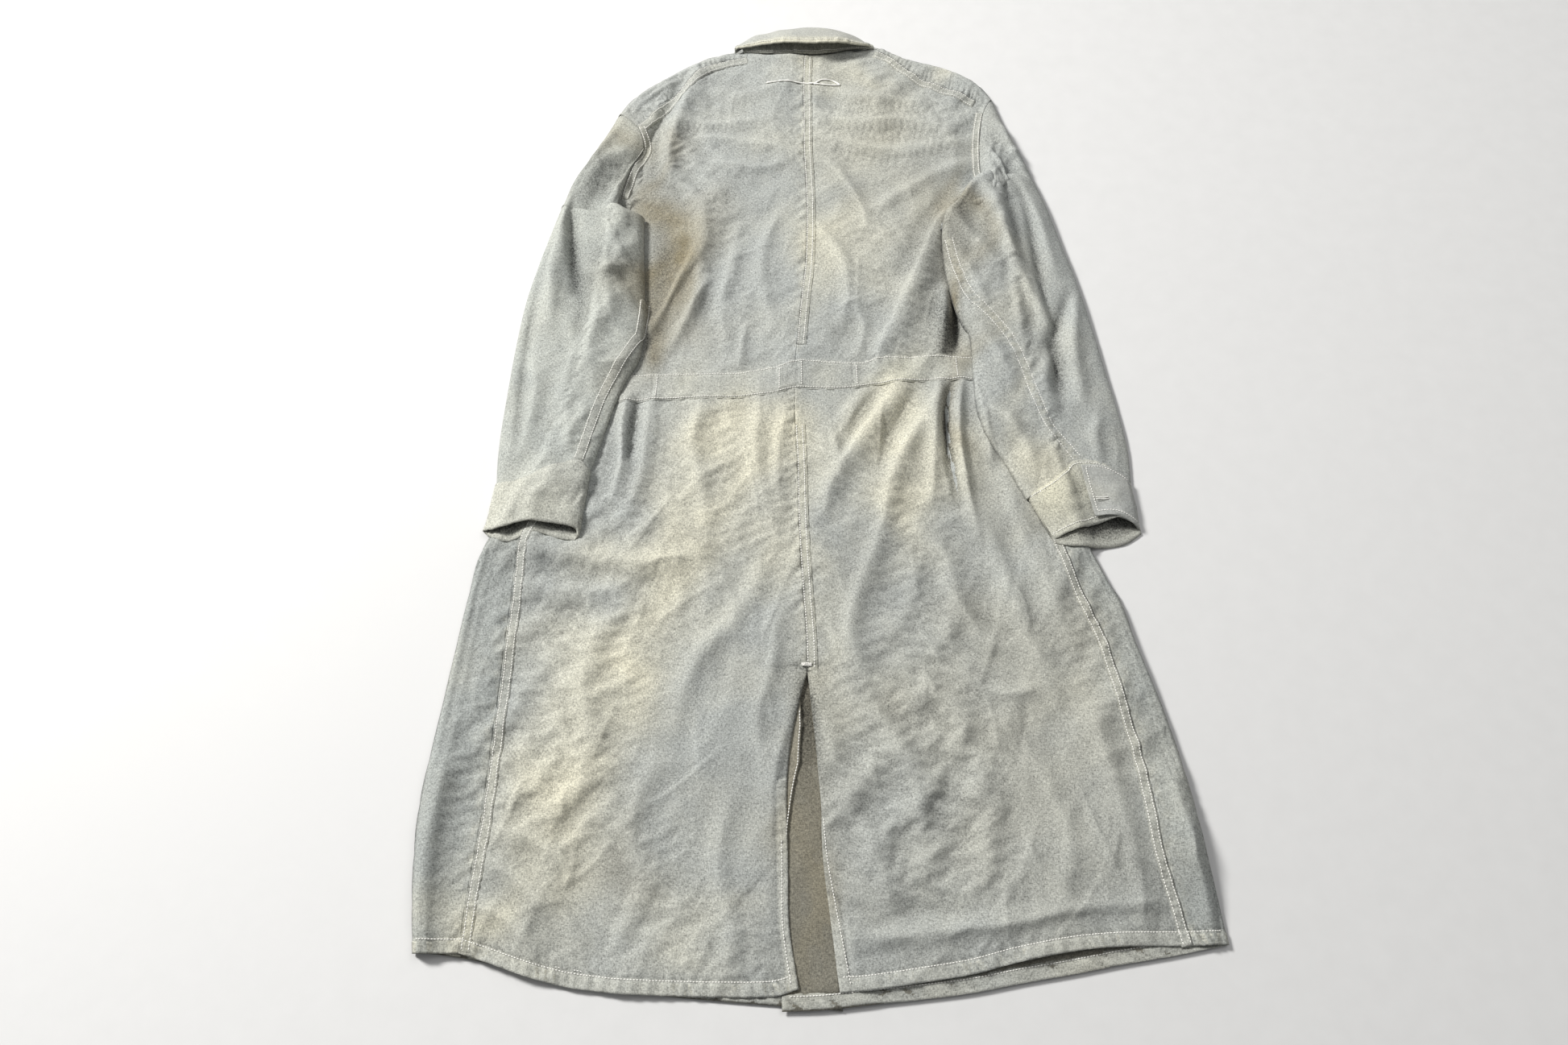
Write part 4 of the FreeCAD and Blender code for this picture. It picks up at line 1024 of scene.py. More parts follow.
def marks_for(p: Array, seams: Sequence[Path2] = (), fade: float = 0.0, stain_and_shade: float = 0.0,
              strength: float = 1.0, dark: float = 0.0) -> dict[str, Array]:
    """The named values that a cloth's material reads.

    Fade and stain are patches over the plan, with a broken pale line along each seam; the brown
    stain patches are partly real stains and partly painted shade beside the sleeves and in the pleats.
    Wear is how far a point stands above its surroundings: ridges are painted lighter and hollows
    darker, as painted highlight and shade, on top of the real rub along seams. Shade is painted
    shade: how far a point lies below its surroundings, and the listed dark patches.

    Args:
        p: (rows, columns, 3) points.
        seams: lines along which the cloth is rubbed pale.
        fade, stain: added all over; stain adds to the brown that is also painted shade.
        strength: scales wear and shade, the painted highlight and shade of the relief.
        dark: how much of the painted shade patches beside the sleeves and in the pleats is used.

    Returns:
        One array for each name in MARKS.
    """
    x, y = p[..., 0], p[..., 1]
    h = hollow(p)
    rub = np.zeros(x.shape)
    for seam in seams:
        d, _, along = to_path(x, y, seam)
        rub = np.maximum(rub, bell(d, 0, 9) * (0.5 + 0.5 * waves(x, y, 14, 77)))
    # Wear lights ridges and darkens hollows as painted highlight and shade, plus the rub along seams;
    # shade is painted shade in hollows and in the listed patches; stain is partly painted shade.
    return {"fade": np.clip(spots(x, y, FADE_SPOTS, 5) + fade + 0.12 * rub
                            + 0.05 * waves(x, y, 160, 8), 0, 1),
            "stain_and_shade": np.clip(spots(x, y, STAIN_AND_SHADE_SPOTS, 9) + stain_and_shade + 0.03 * waves(x, y, 90, 31), 0, 1),
            "wear_and_relief_shading": np.clip(h * 0.26, -1.2, 1.2) * strength + 0.12 * rub,
            "shade": np.clip(-h * 0.05, 0, 0.35) * strength + spots(x, y, SHADE_SPOTS, 13, 3) * dark}


# ---------------------------------------------------------------- what every sub-assembly shares
@dataclass
class Workshop:
    """The finishes, the height map as pieces are laid, and the sheets to log at the end."""

    finishes: dict[str, Material]
    top: Relief = field(default_factory=Relief)
    sheets: dict[str, tuple] = field(default_factory=dict)
    trims: dict[str, list] = field(default_factory=dict)
    soft_ground: Optional[Relief] = None

    def place(self, obj: Thing, slot: str, *nodes: str, body: str = COAT,
              bend: Optional[tuple] = None, owner: Optional[str] = None) -> Thing:
        """Puts a finished piece on its body, or bakes its transform in place when a bend is given, and
        notes what it is on.

        Args:
            obj: the piece.
            slot: not used.
            nodes: the solid pieces that it stands for.
            body: what it moves with.
            bend: (body, other body, start, end) in millimetres; when given, the piece's transform is
                baked in instead of putting it on body, and the values themselves are not read.
            owner: the sheet that it is sewn on.

        Returns:
            The piece.
        """
        if nodes:
            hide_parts(*nodes)
        if bend:
            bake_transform(obj)
        else:
            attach(obj, body)
        if owner:
            self.trims.setdefault(owner, []).append(obj)
        LOG.info("%s: %d points", obj.name, len(obj.data.vertices))
        return obj

    def cloth(self, obj: Thing, p: Array, keep: Optional[Array], held: str,
              on: Sequence[str]) -> None:
        """Notes a sheet with its cut size: the extents along its own long axis, and its area."""
        a, b, c, d = p[:-1, :-1], p[:-1, 1:], p[1:, 1:], p[1:, :-1]
        area = 0.5 * np.linalg.norm(np.cross(c - a, d - b), axis=-1)
        area = float(area.sum() if keep is None else area[keep].sum()) * 1e-6
        mid = ((a + c) / 2).reshape(-1, 3) if keep is None else ((a + c) / 2)[keep]
        flat = mid[:, :2] - mid[:, :2].mean(0)
        axis = np.linalg.eigh(flat.T @ flat)[1]
        size = np.ptp(flat @ axis, axis=0) * MM
        long, wide = max(size) + 0.005, min(size) + 0.005
        wide = min(wide, area / (0.32 * long))
        wide = max(wide, area / long * 1.01)
        self.sheets[obj.name] = (obj, (round(wide, 4), round(long, 4)), held, on, round(area, 5))

    def declare(self) -> None:
        """Logs every sheet's cut size and area."""
        for name, (obj, flat, held, on, area) in self.sheets.items():
            area = min(area, flat[0] * flat[1])
            LOG.info("sheet %s: cut %.0f by %.0f mm, %.4f m2", name, flat[0] * 1e3, flat[1] * 1e3,
                     area)

    def piece(self, name: str, p: Array, finish: str, slot: str = "sewn_cloth", *,
              nodes: Sequence[str] = (), body: str = COAT, bend: Optional[tuple] = None,
              owner: Optional[str] = None, lies: Optional[tuple] = None,
              drawn: Optional[Array] = None, **how: object) -> None:
        """Makes a cloth piece that stands for the solid of its own name, and places it.

        Args:
            name: the piece's name, and the solid's.
            p: its grid of points.
            finish: the key of its finish.
            slot: not used.
            nodes: more solids that it stands for.
            body, bend, owner: as in place.
            lies: how it is held and what it rests on, for a sheet of its own.
            drawn: the grid that the sheet's cut size comes from, where that isn't p.
            how: whatever else surface takes.
        """
        obj = surface(name, p, self.finishes[finish], **how)
        self.place(obj, slot, name, *nodes, body=body, bend=bend, owner=owner)
        if lies:
            self.cloth(obj, p if drawn is None else drawn, how.get("keep"), *lies)

    def stitch(self, name: str, rows: Sequence[Array], owner: str, seed: int, *,
               lift: float = 0.15, pitch: float = 3.2, body: str = COAT,
               bend: Optional[tuple] = None) -> None:
        """Rows of stitches on a sheet.

        Args:
            name: the piece's name.
            rows: lines of points on the sheet.
            owner: the sheet.
            seed: picks the stitches' small turns.
            lift: how far above the lines they lie.
            pitch: from one stitch to the next.
            body, bend: as in place.
        """
        rows = [row + np.array([0, 0, lift]) for row in rows]
        made = stitches(name, rows, self.finishes["thread"], pitch, seed)
        self.place(made, "sewn_cloth", body=body, bend=bend, owner=owner)

    def seam(self, name: str, path: Path2, low: float, high: float, columns: Sequence[int],
             seeds: tuple[int, int], fade: float, owner: str, body: str = COAT) -> None:
        """A felled seam: a narrow strip of doubled cloth along a path, with rows of stitches.

        Across the strip its height is 0.9 (1 - |t|^6), so that both edges turn down, less a groove
        near each edge where it is stitched. Along it, ripples that slant across it pull it up and
        down between stitches, and the last 2 mm turn down.

        Args:
            name: the piece's name.
            path: its line.
            low, high: where its two edges are, to the right and left of the line.
            columns: which of its nine columns have stitches.
            seeds: pick the ripples, and the stitches' small turns.
            fade: extra fade.
            owner: the sheet that it is sewn on.
            body: what it moves with.
        """
        length = np.linalg.norm(np.diff(np.asarray(path, float), axis=0), axis=1).sum()
        line = curve(path, max(6, int(length / 1.4)))
        ahead = np.gradient(line, axis=0)
        ahead /= np.linalg.norm(ahead, axis=1, keepdims=True) + 1e-9
        t = np.linspace(-1, 1, 9)
        t = t + 0.12 * np.sin(np.pi * t)
        s = np.linspace(0, length, len(line))[:, None]
        offset = (low + (high - low) * (1 - t) / 2)[None]
        x, y = line[:, :1] - ahead[:, 1:] * offset, line[:, 1:] + ahead[:, :1] * offset
        ripple = waves(s + t[None], t[None] * 2 + 0 * s, 6.5, seeds[0])
        shape = 0.9 * (1 - np.abs(t) ** 6)[None] - 0.28 * bell(np.abs(t), 0.72, 0.12)
        shape = shape + 0.24 * ripple * (1 - 0.5 * np.abs(t[None]) ** 4)
        inside = np.clip(np.minimum(s, length - s) / 2.0, 0, 1)
        p = np.stack([x, y, self.top.at(x, y) + shape * inside - 0.5 * (1 - inside)], 2)
        marks = marks_for(p, fade=fade)
        # The ripples near the edges are painted lighter on their crests and darker in their troughs:
        # painted light and shade.
        marks["wear_and_relief_shading"] = np.clip(marks["wear_and_relief_shading"] + 0.22 * ripple * np.abs(t[None]) ** 3, -1.3, 1.3)
        if min(abs(low), abs(high)) < 1:
            marks["shade"] = marks["shade"] + 0.6 * bell(np.abs(offset), 0, 1.6)
        self.piece(name, p, "seam", body=body, owner=owner, marks=marks, thick=0.7)
        rows = [p[2:-2, c] for c in columns]
        self.stitch(name + "_stitches", rows, owner, seeds[1], lift=0, body=body)


# ---------------------------------------------------------------- body of the smock
@dataclass
class Back:
    """The back of the smock: one sheet from silhouette to silhouette, cut at the vent."""

    strip: int = 16
    half: int = 76
    skirt_rows: int = 150
    upper_rows: int = 116
    base: float = 11.5
    roll: float = 10.0
    spare: float = 0.010
    rounds: int = 240
    vent_share: float = 0.47
    grids: dict = field(default_factory=dict)
    creased: tuple = (((-400, -620, -30, 30), 60, 301, 72, 26, 62, 2.6, 1.9),
                      ((10, -600, 390, 50), 100, 302, 112, 24, 60, 2.6, 2.3),
                      ((-220, 80, -10, 560), 34, 303, 62, 34, 48, 2.4, 1.3),
                      ((0, 80, 220, 570), 40, 304, 60, 36, 48, 2.4, 1.5),
                      ((-180, 400, 200, 520), 22, 305, 6, 18, 42, 2.2, 1.3),
                      ((-400, -620, 400, -540), 34, 306, 14, 20, 40, 2.6, 1.8),
                      ((-400, -620, 400, 560), 220, 307, 80, 60, 16, 1.8, 0.9))

    @property
    def weld(self) -> int:
        """The first row above the vent."""
        return int(self.vent_share * self.skirt_rows)

    def plan(self, side: Side) -> Array:
        """Half of the back in plan, from the silhouette or vent at its left to its right edge."""
        n, m, a, b = self.skirt_rows + 1, self.upper_rows + 1, self.strip + 1, self.half + 1
        if side is Side.LEFT:
            edge, edge_up, seam, seam_up = LEFT_SIDE, LEFT_FLANK, LEFT_SEAM, LEFT_SEAM_UP
            mid, hem, waist, top, tip = LEFT_VENT, LEFT_HEM, WAIST_LEFT, TOP_LEFT, LEFT_TIP
            corner, side_waist = [(-403.8, -588.3), (-356.6, -588)], [(-282, 66), (-253, 60)]
        else:
            edge, edge_up, seam, seam_up = RIGHT_SIDE, RIGHT_FLANK, RIGHT_SEAM, RIGHT_SEAM_UP
            mid, hem, waist, top, tip = RIGHT_VENT, RIGHT_HEM, WAIST_RIGHT, TOP_RIGHT, RIGHT_TIP
            corner, side_waist = [(378.5, -581), (414.5, -579.8)], [(246, 79), (269.6, 74.1)]
        centre = np.concatenate([curve(mid, self.weld + 1), curve(CENTRE, n - self.weld)[1:]])
        outer = (curve(edge, n), curve(edge_up, m))
        inner = (curve(seam, n), curve(seam_up, m))
        middle = (centre, curve(CENTRE_UP, m))
        blocks = []
        for k, (lo, hi, edge_lo, edge_hi) in enumerate((
                (hem, waist, corner, side_waist), (waist, top, side_waist, tip))):
            if side is Side.LEFT:
                parts = (coons(curve(edge_lo, a), curve(edge_hi, a), outer[k], inner[k]),
                         coons(curve(lo, b), curve(hi, b), inner[k], middle[k]))
            else:
                parts = (coons(curve(lo, b), curve(hi, b), middle[k], inner[k]),
                         coons(curve(edge_lo, a), curve(edge_hi, a), inner[k], outer[k]))
            blocks.append(np.concatenate([parts[0][:, :-1], parts[1]], 1))
        return np.concatenate([blocks[0][:-1], blocks[1]], 0)

    @staticmethod
    def under(x: Array, y: Array) -> Array:
        """The top of the front's cloth, which is higher where its two edges lap."""
        return 3.4 + 2.2 * step(x, -44, -28) * (1 - step(x, 50, 90)) + 0.8 * (1 - step(y, -600, -590))

    def sculpt(self, q: Array) -> Array:
        """The drawn height of each point of a plan.

        A billow of long waves carries the folds, creases and fine crumples. Near the silhouette
        the height is taken down in a quarter ellipse, and near the hem and vent it lies flatter.
        """
        x, y = q[..., 0], q[..., 1]
        z = self.base + 1.6 * waves(x, y, 330, 3) + 1.0 * waves(x, y, 120, 4, 70, 2.0)
        z += 4.0 * np.exp(-((x - 5) / 120) ** 2 - ((y - 330) / 190) ** 2)
        z += 2.5 * np.exp(-((x + 110) / 130) ** 2 - ((y + 160) / 200) ** 2)
        for fold in BACK_FOLDS:
            z += 1.9 * fold.height(x, y)
        for fold in SKIRT_FOLDS:
            z += 1.6 * fold.height(x, y)
        soft = np.clip(1.1 + 0.5 * waves(x, y, 200, 12), 0.3, 2)
        z += soft * (0.5 * crumple(x, y, 90, 21, 80, 2.2) + 2.4 * facets(x, y, 74, 24, 78, 1.9))
        floor = self.under(x, y) + 0.6
        flat = np.exp(-np.clip(y + 632, 0, None) / 26)
        vent = np.minimum(to_path(x, y, LEFT_VENT)[0], to_path(x, y, RIGHT_VENT)[0])
        vent = np.exp(-vent / 18) * (y < -290)
        z = z - (z - floor - 1.5) * np.clip(0.62 * flat + 0.55 * vent, 0, 0.8)
        z = np.maximum(z, floor)
        for edge, size in ((LEFT_SIDE + LEFT_FLANK[:4], self.roll), (LEFT_TIP, 13.0),
                           (RIGHT_SIDE + RIGHT_FLANK[:4], self.roll), (RIGHT_TIP, 13.0),
                           (TOP_LEFT[:4], 15.0), (TOP_RIGHT[3:], 15.0)):
            z = 3.4 + (z - 3.4) * quarter(to_path(x, y, edge)[0], size)
        return z

    def crisp(self, x: Array, y: Array) -> Array:
        """Small relief that is added to the settled sheet: sharp creases, crushed facets and puckers.

        It dies away to nothing within 16 mm of the silhouette.
        """
        soft = np.clip(1.0 + 0.5 * waves(x, y, 150, 17), 0.2, 2)
        z = soft * (0.75 * facets(x, y, 27, 25, 60, 1.5) + 0.10 * crumple(x, y, 9, 61))
        for box, count, seed, turn, spread, long, wide, rise in self.creased:
            z += creases(x, y, box, count, seed, turn, spread, long, wide, rise)
        for seam in (CENTRE, CENTRE_UP, LEFT_SEAM, RIGHT_SEAM, LEFT_SHOULDER_SEAM,
                     RIGHT_SHOULDER_SEAM, LEFT_ARMHOLE, RIGHT_ARMHOLE):
            d, _, along = to_path(x, y, seam)
            z += 0.5 * bell(d, 0, 13) * waves(along * 500 + d * 0.8, d * 0.2, 11, 5)
        edge = np.minimum(to_path(x, y, LEFT_SIDE + LEFT_FLANK)[0],
                          to_path(x, y, RIGHT_SIDE + RIGHT_FLANK)[0])
        return z * step(edge, 2, 16)

    def build(self, shop: Workshop) -> None:
        """Settles the sheet, cuts it into its panels and dresses them."""
        halves = [self.plan(side) for side in Side]
        flat = np.concatenate(halves, 1)
        shape = np.concatenate([flat, self.sculpt(flat)[..., None]], 2)
        cut, weld = halves[0].shape[1] - 1, self.weld
        shape[weld:, cut:cut + 2] = shape[weld:, cut:cut + 2].mean(1, keepdims=True)
        held = np.zeros(shape.shape[:2], bool)
        held[:, :2], held[:, -2:], held[-2:] = True, True, True
        spare = self.spare * (1.0 + 0.9 * waves(shape[..., 0], shape[..., 1], 260, 44))
        spare = np.clip(spare * (1 - 0.8 * bell(shape[..., 1], 70, 22)), 0, 0.03)
        ground = Relief()
        gx, gyy = np.meshgrid(np.arange(ground.grid.shape[1]) * ground.cell + ground.low[0],
                              np.arange(ground.grid.shape[0]) * ground.cell + ground.low[1])
        ground.grid = self.under(gx, gyy) + 0.9
        rounds = self.rounds
        p = settle(shape, held, ground, spare, rounds, cut, weld)
        LOG.info("back settled in %d rounds", rounds)
        for side, part, q in zip(Side, (p[:, :cut + 1], p[:, cut + 1:]), halves):
            fine, plan = finer(part), finer(q)
            rope, band = self.roping(side, plan)
            low = self.under(fine[..., 0], fine[..., 1]) + 0.9
            body = fine[..., 2] + self.crisp(plan[..., 0], plan[..., 1])
            fine[..., 2] = np.maximum(body, np.minimum(low, fine[..., 2])) + rope
            self.grids[side] = (fine, plan)
            shop.top = shop.top.add(fine)
            self.cut(shop, side, fine, plan, rope, band)

    def roping(self, side: Side, plan: Array) -> tuple[Array, Array]:
        """The puckers along the hem and the vent edge, and where those two bands lie.

        In each band, slanting ripples stand between the edge and the stitch line, which is pulled
        down in a narrow groove; short gathers run on from it into the cloth.
        """
        x, y = plan[..., 0], plan[..., 1]
        left = side is Side.LEFT
        hem = [(-403.8, -588.3)] + LEFT_HEM if left else RIGHT_HEM + [(414.5, -579.8)]
        vent = LEFT_VENT[:4] if left else RIGHT_VENT[:3]
        rope, band = np.zeros(x.shape), np.zeros(x.shape)
        for path, wide, size in ((hem, 14.5, 0.75), (vent, 11.5, 0.5)):
            d, _, along = to_path(x, y, path)
            s = along * np.linalg.norm(np.diff(np.asarray(path, float), axis=0), axis=1).sum()
            ripple = waves(s + 0.35 * d, 0 * d, 9.0, 141) * (0.6 + 0.4 * waves(s, 0 * d, 90, 142))
            in_band = 1 - step(d, wide - 1.5, wide + 0.5)
            past = np.exp(-np.clip(d - wide, 0, None) / 7) * (1 - in_band)
            rope += size * ripple * (in_band * np.clip(d / 3, 0.3, 1) + 0.6 * past)
            rope -= 0.9 * np.exp(-((d - wide) / 1.8) ** 2)
            rope += 0.5 * in_band
            band = np.maximum(band, in_band)
        return rope, band

    def cut(self, shop: Workshop, side: Side, p: Array, plan: Array, rope: Array, band: Array
            ) -> None:
        """Cuts one half into skirt, side, upper back and shoulder panels.

        Args:
            shop: where they are placed.
            side: which half.
            p, plan: its points, and the same points flat.
            rope, band: the puckers along the hem and vent, and where those bands lie.
        """
        left, word = side is Side.LEFT, side.name.lower()
        rows, cols = p.shape[0] - 1, p.shape[1] - 1
        r, c = np.mgrid[:rows, :cols]
        x, y = plan[:-1, :-1, 0], plan[:-1, :-1, 1]
        edge = c < 2 * self.strip if left else c >= cols - 2 * self.strip
        skirt = r < 2 * self.skirt_rows
        at = to_path(x, y, LEFT_SHOULDER_SEAM if left else RIGHT_SHOULDER_SEAM)[1]
        shoulder = ((at < 0) & (x < -83) if left else (at > 0) & (x > 96)) & (y > 455) & ~skirt
        flank = edge & ~skirt & (y < 334)
        parts = {"side_skirt": edge & skirt, "back_skirt": ~edge & skirt, "side_upper": flank,
                 "shoulder": shoulder & ~flank, "back_upper": ~skirt & ~flank & ~shoulder}
        marks = marks_for(p, [LEFT_SEAM, RIGHT_SEAM, CENTRE, CENTRE_UP], dark=1.0)
        # Painted light and shade on the hem and vent puckers: crests lighter, troughs and the stitch
        # groove darker; the band is lighter too.
        marks["wear_and_relief_shading"] = np.clip(marks["wear_and_relief_shading"] + 0.9 * rope, -1.3, 1.3)
        marks["fade"] = np.clip(marks["fade"] + 0.12 * band, 0, 1)
        # The side panels take the darker side copy of the cloth: painted shade along both silhouettes.
        for key, keep in parts.items():
            below = f"{word}_front_skirt" if "skirt" in key else f"{word}_front_upper"
            vent = {"nodes": [f"{word}_vent_flap"], "bend": flap_bend(side)}
            shop.piece(f"{word}_{key}", p, "side" if "side" in key else "cloth", "cloth",
                       lies=("laid", [below]), drawn=raised(plan, 0.0), uv=plan, keep=keep,
                       marks=marks, **(vent if key == "back_skirt" else {}))


def flap_bend(side: Side) -> tuple:
    """The bend values passed with a skirt panel, across the fold line of its vent flap."""
    if side is Side.LEFT:
        n, mid, body = (0.838, -0.545), (-113.8, -460.0), "left_vent_flap"
    else:
        n, mid, body = (-0.817, -0.577), (99.7, -447.0), "right_vent_flap"
    start = (mid[0] - 12 * n[0], mid[1] - 12 * n[1], 17.0)
    end = (mid[0] + 14 * n[0], mid[1] + 14 * n[1], 17.0)
    return (COAT, body, start, end)


# ---------------------------------------------------------------- front, underneath
@dataclass
class Front:
    """The two fronts, which lie underneath with their outside down, and what is sewn on them."""

    columns: int = 60
    base: float = 2.5
    lap: float = 4.75

    def height(self, x: Array, y: Array, side: Side) -> Array:
        """A front's outside: flat on its pockets, and the right one higher where it laps."""
        z = self.base + 0.12 * waves(x, y, 140, 71)
        if side is Side.RIGHT:
            z = z + (self.lap - self.base) * (1 - step(x, 46, 92))
        return z

    def build(self, shop: Workshop) -> None:
        """Makes both fronts with their facings, hems and pockets, and the buttons."""
        for side in Side:
            self.half(shop, side)
        for name, sizes in POCKETS.items():
            self.pocket(shop, name, *sizes)
        self.buttons(shop)

    def half(self, shop: Workshop, side: Side) -> None:
        """One front: its skirt and its upper part, with hem, waistband and facing."""
        left, word, n = side is Side.LEFT, side.name.lower(), self.columns
        if left:
            edges, hem, lap = (LEFT_SIDE, LEFT_FLANK), LEFT_FRONT_HEM, 26
            neck = LEFT_TIP + [(-153, 581), (-91.5, 601), (-70, 580), (-40, 552), (0, 528), (26, 520)]
        else:
            edges, hem, lap = (RIGHT_SIDE, RIGHT_FLANK), RIGHT_FRONT_HEM, -34
            neck = [(-34, 520), (0, 526), (45, 552), (76, 585), (96.6, 606), (134.7, 589)] + RIGHT_TIP
        corner, foot = edges[0][-1], hem[-1 if left else 0][1]
        waist = [corner, (lap, 64)] if left else [(lap, 64), corner]
        for key, edge, lo, hi, rows, y0, y1 in (("skirt", edges[0], hem, waist, 130, foot, 64),
                                                ("upper", edges[1], waist, neck, 96, 64, 520)):
            sides = (curve(edge, rows), curve([(lap, y0), (lap, y1)], rows))
            plan = coons(curve(lo, n), curve(hi, n), *(sides if left else sides[::-1]))
            p = raised(plan, self.height(plan[..., 0], plan[..., 1], side))
            shop.piece(f"{word}_front_{key}", p, "inner", "cloth", lies=("laid", ["floor"]),
                       flip=True, marks=marks_for(p, strength=0.3))
            if key == "skirt":
                self.hem(shop, word, p)
        self.band(shop, side, lap, corner[0])
        self.facing(shop, side, lap)

    def hem(self, shop: Workshop, word: str, p: Array) -> None:
        """The turned-up hem on the inside of a front: its lowest 13 mm, doubled and stitched."""
        strip = finer(p[:5])
        d = np.linalg.norm(strip[:, :, :2] - strip[:1, :, :2], axis=-1)
        strip = strip[d.max(1) < 17]
        s = np.cumsum(np.full(strip.shape[1], 3.0))[None]
        t = np.linspace(-1, 1, len(strip))[:, None]
        rope = waves(s + 9 * t, 0 * s + 4 * t, 10, 19)
        strip[..., 2] += 0.95 + 0.5 * (1 - t**6) + 0.45 * rope
        strip[0, :, 2] = p[0, 0, 2] + 0.2
        marks = marks_for(strip, fade=0.05)
        # Painted light and shade on the hem's puckers: crests lighter, troughs darker.
        marks["wear_and_relief_shading"] = np.clip(marks["wear_and_relief_shading"] + 0.7 * rope, -1.3, 1.3)
        name, owner = f"{word}_front_hem", f"{word}_front_skirt"
        shop.piece(name, strip, "seam", owner=owner, marks=marks)
        shop.stitch(name + "_stitches", [strip[-2, 2:-2]], owner, 7, lift=0.25)
        shop.top = shop.top.add(strip)

    def band(self, shop: Workshop, side: Side, lap: float, waist: float) -> None:
        """The front's waistband, under the cloth, from the lap to the silhouette."""
        word = side.name.lower()
        ends = (waist + 8, lap - 2) if side is Side.LEFT else (lap + 2, waist - 8)
        x, y = np.meshgrid(np.linspace(*ends, 60), np.linspace(44, 84, 12))
        p = np.stack([x, y, self.height(x, y, side) - 0.9], 2)
        shop.piece(f"{word}_front_waistband", p, "seam", owner=f"{word}_front_skirt", flip=True,
                   thick=0.7)

    def facing(self, shop: Workshop, side: Side, lap: float) -> None:
        """The turned edge of a front, on its inside."""
        word = side.name.lower()
        reach = (lap - 34, lap - 1) if side is Side.LEFT else (lap + 1, lap + 60)
        x, y = np.meshgrid(np.linspace(*reach, 12), np.linspace(-626, 512, 230))
        p = np.stack([x, y, self.height(x, y, side) + 0.95 + 0.14 * waves(x, y, 30, 15)], 2)
        shop.piece(f"{word}_front_facing", p, "inner", "cloth", owner=f"{word}_front_skirt",
                   thick=0.7, marks=marks_for(p, stain_and_shade=0.1, strength=0.4, dark=1.0))

    def pocket(self, shop: Workshop, name: str, cx: float, cy: float, wide: float, high: float
               ) -> None:
        """A patch pocket on the outside, with its lower corners cut off."""
        x, y = np.meshgrid(np.linspace(-1, 1, 24), np.linspace(-1, 1, 24))
        x = cx + x * wide / 2 * (1 - 0.12 * np.clip(-y - 0.75, 0, 1) * 4)
        y = cy + y * high / 2
        p = np.stack([x, y, 1.35 + 0.06 * waves(x, y, 40, 33)], 2)
        owner = f"{'left' if cx < 0 else 'right'}_front_{'skirt' if cy < 64 else 'upper'}"
        shop.piece(name, p, "cloth", "cloth", owner=owner, flip=True,
                   marks=marks_for(p, strength=0.3))

    def buttons(self, shop: Workshop) -> None:
        """Six buttons down the front, face down."""
        shape, faces = button_shape(8.5, 2.0)
        shape = shape * np.array([1, 1, -1.0])
        n = len(BUTTON_YS)
        places = np.stack([np.full(n, -3.0), np.array(BUTTON_YS, float), np.full(n, 2.3)], 1)
        obj = copies("front_buttons", shop.finishes["button"], shape, [f[::-1] for f in faces], places,
                     np.tile([1.0, 0, 0], (n, 1)), np.tile([0, 0, 1.0], (n, 1)))
        shop.place(obj, "buttons", "front_buttons")


def button_shape(radius: float, thick: float) -> tuple[Array, list]:
    """A round button with a raised rim and a dished middle, turned about its own axis."""
    rings = ((0.0, 0.45), (0.55, 0.5), (0.7, 0.95), (0.9, 1.0), (1.0, 0.75), (1.0, 0.3),
             (0.85, 0.0), (0.0, 0.0))
    turns = 20
    angle = np.arange(turns) * 2 * np.pi / turns
    pts = [[0, 0, rings[0][1] * thick]]
    for r, h in rings[1:-1]:
        pts += np.stack([radius * r * np.cos(angle), radius * r * np.sin(angle),
                         np.full(turns, h * thick)], 1).tolist()
    pts.append([0, 0, 0])
    faces = [(0, 1 + k, 1 + (k + 1) % turns) for k in range(turns)]
    for j in range(len(rings) - 3):
        a, b = 1 + j * turns, 1 + (j + 1) * turns
        faces += [(a + k, b + k, b + (k + 1) % turns, a + (k + 1) % turns) for k in range(turns)]
    last, end = 1 + (len(rings) - 3) * turns, len(pts) - 1
    faces += [(last + (k + 1) % turns, last + k, end) for k in range(turns)]
    return np.array(pts), faces


# ---------------------------------------------------------------- sleeves
@dataclass(frozen=True)
class SleeveLines:
    """The lines of one sleeve in plan, each from its inner to its outer edge or downwards."""

    armhole: Path2
    tuck: Path2
    fold: Path2
    cap: Path2
    inner: Path2
    outer: Path2
    cuff: Path2
    mouth: Path2
    lower: Path2
    seam: Path2
    folds: Sequence[Fold]
    open: tuple[float, float]
    thick: float


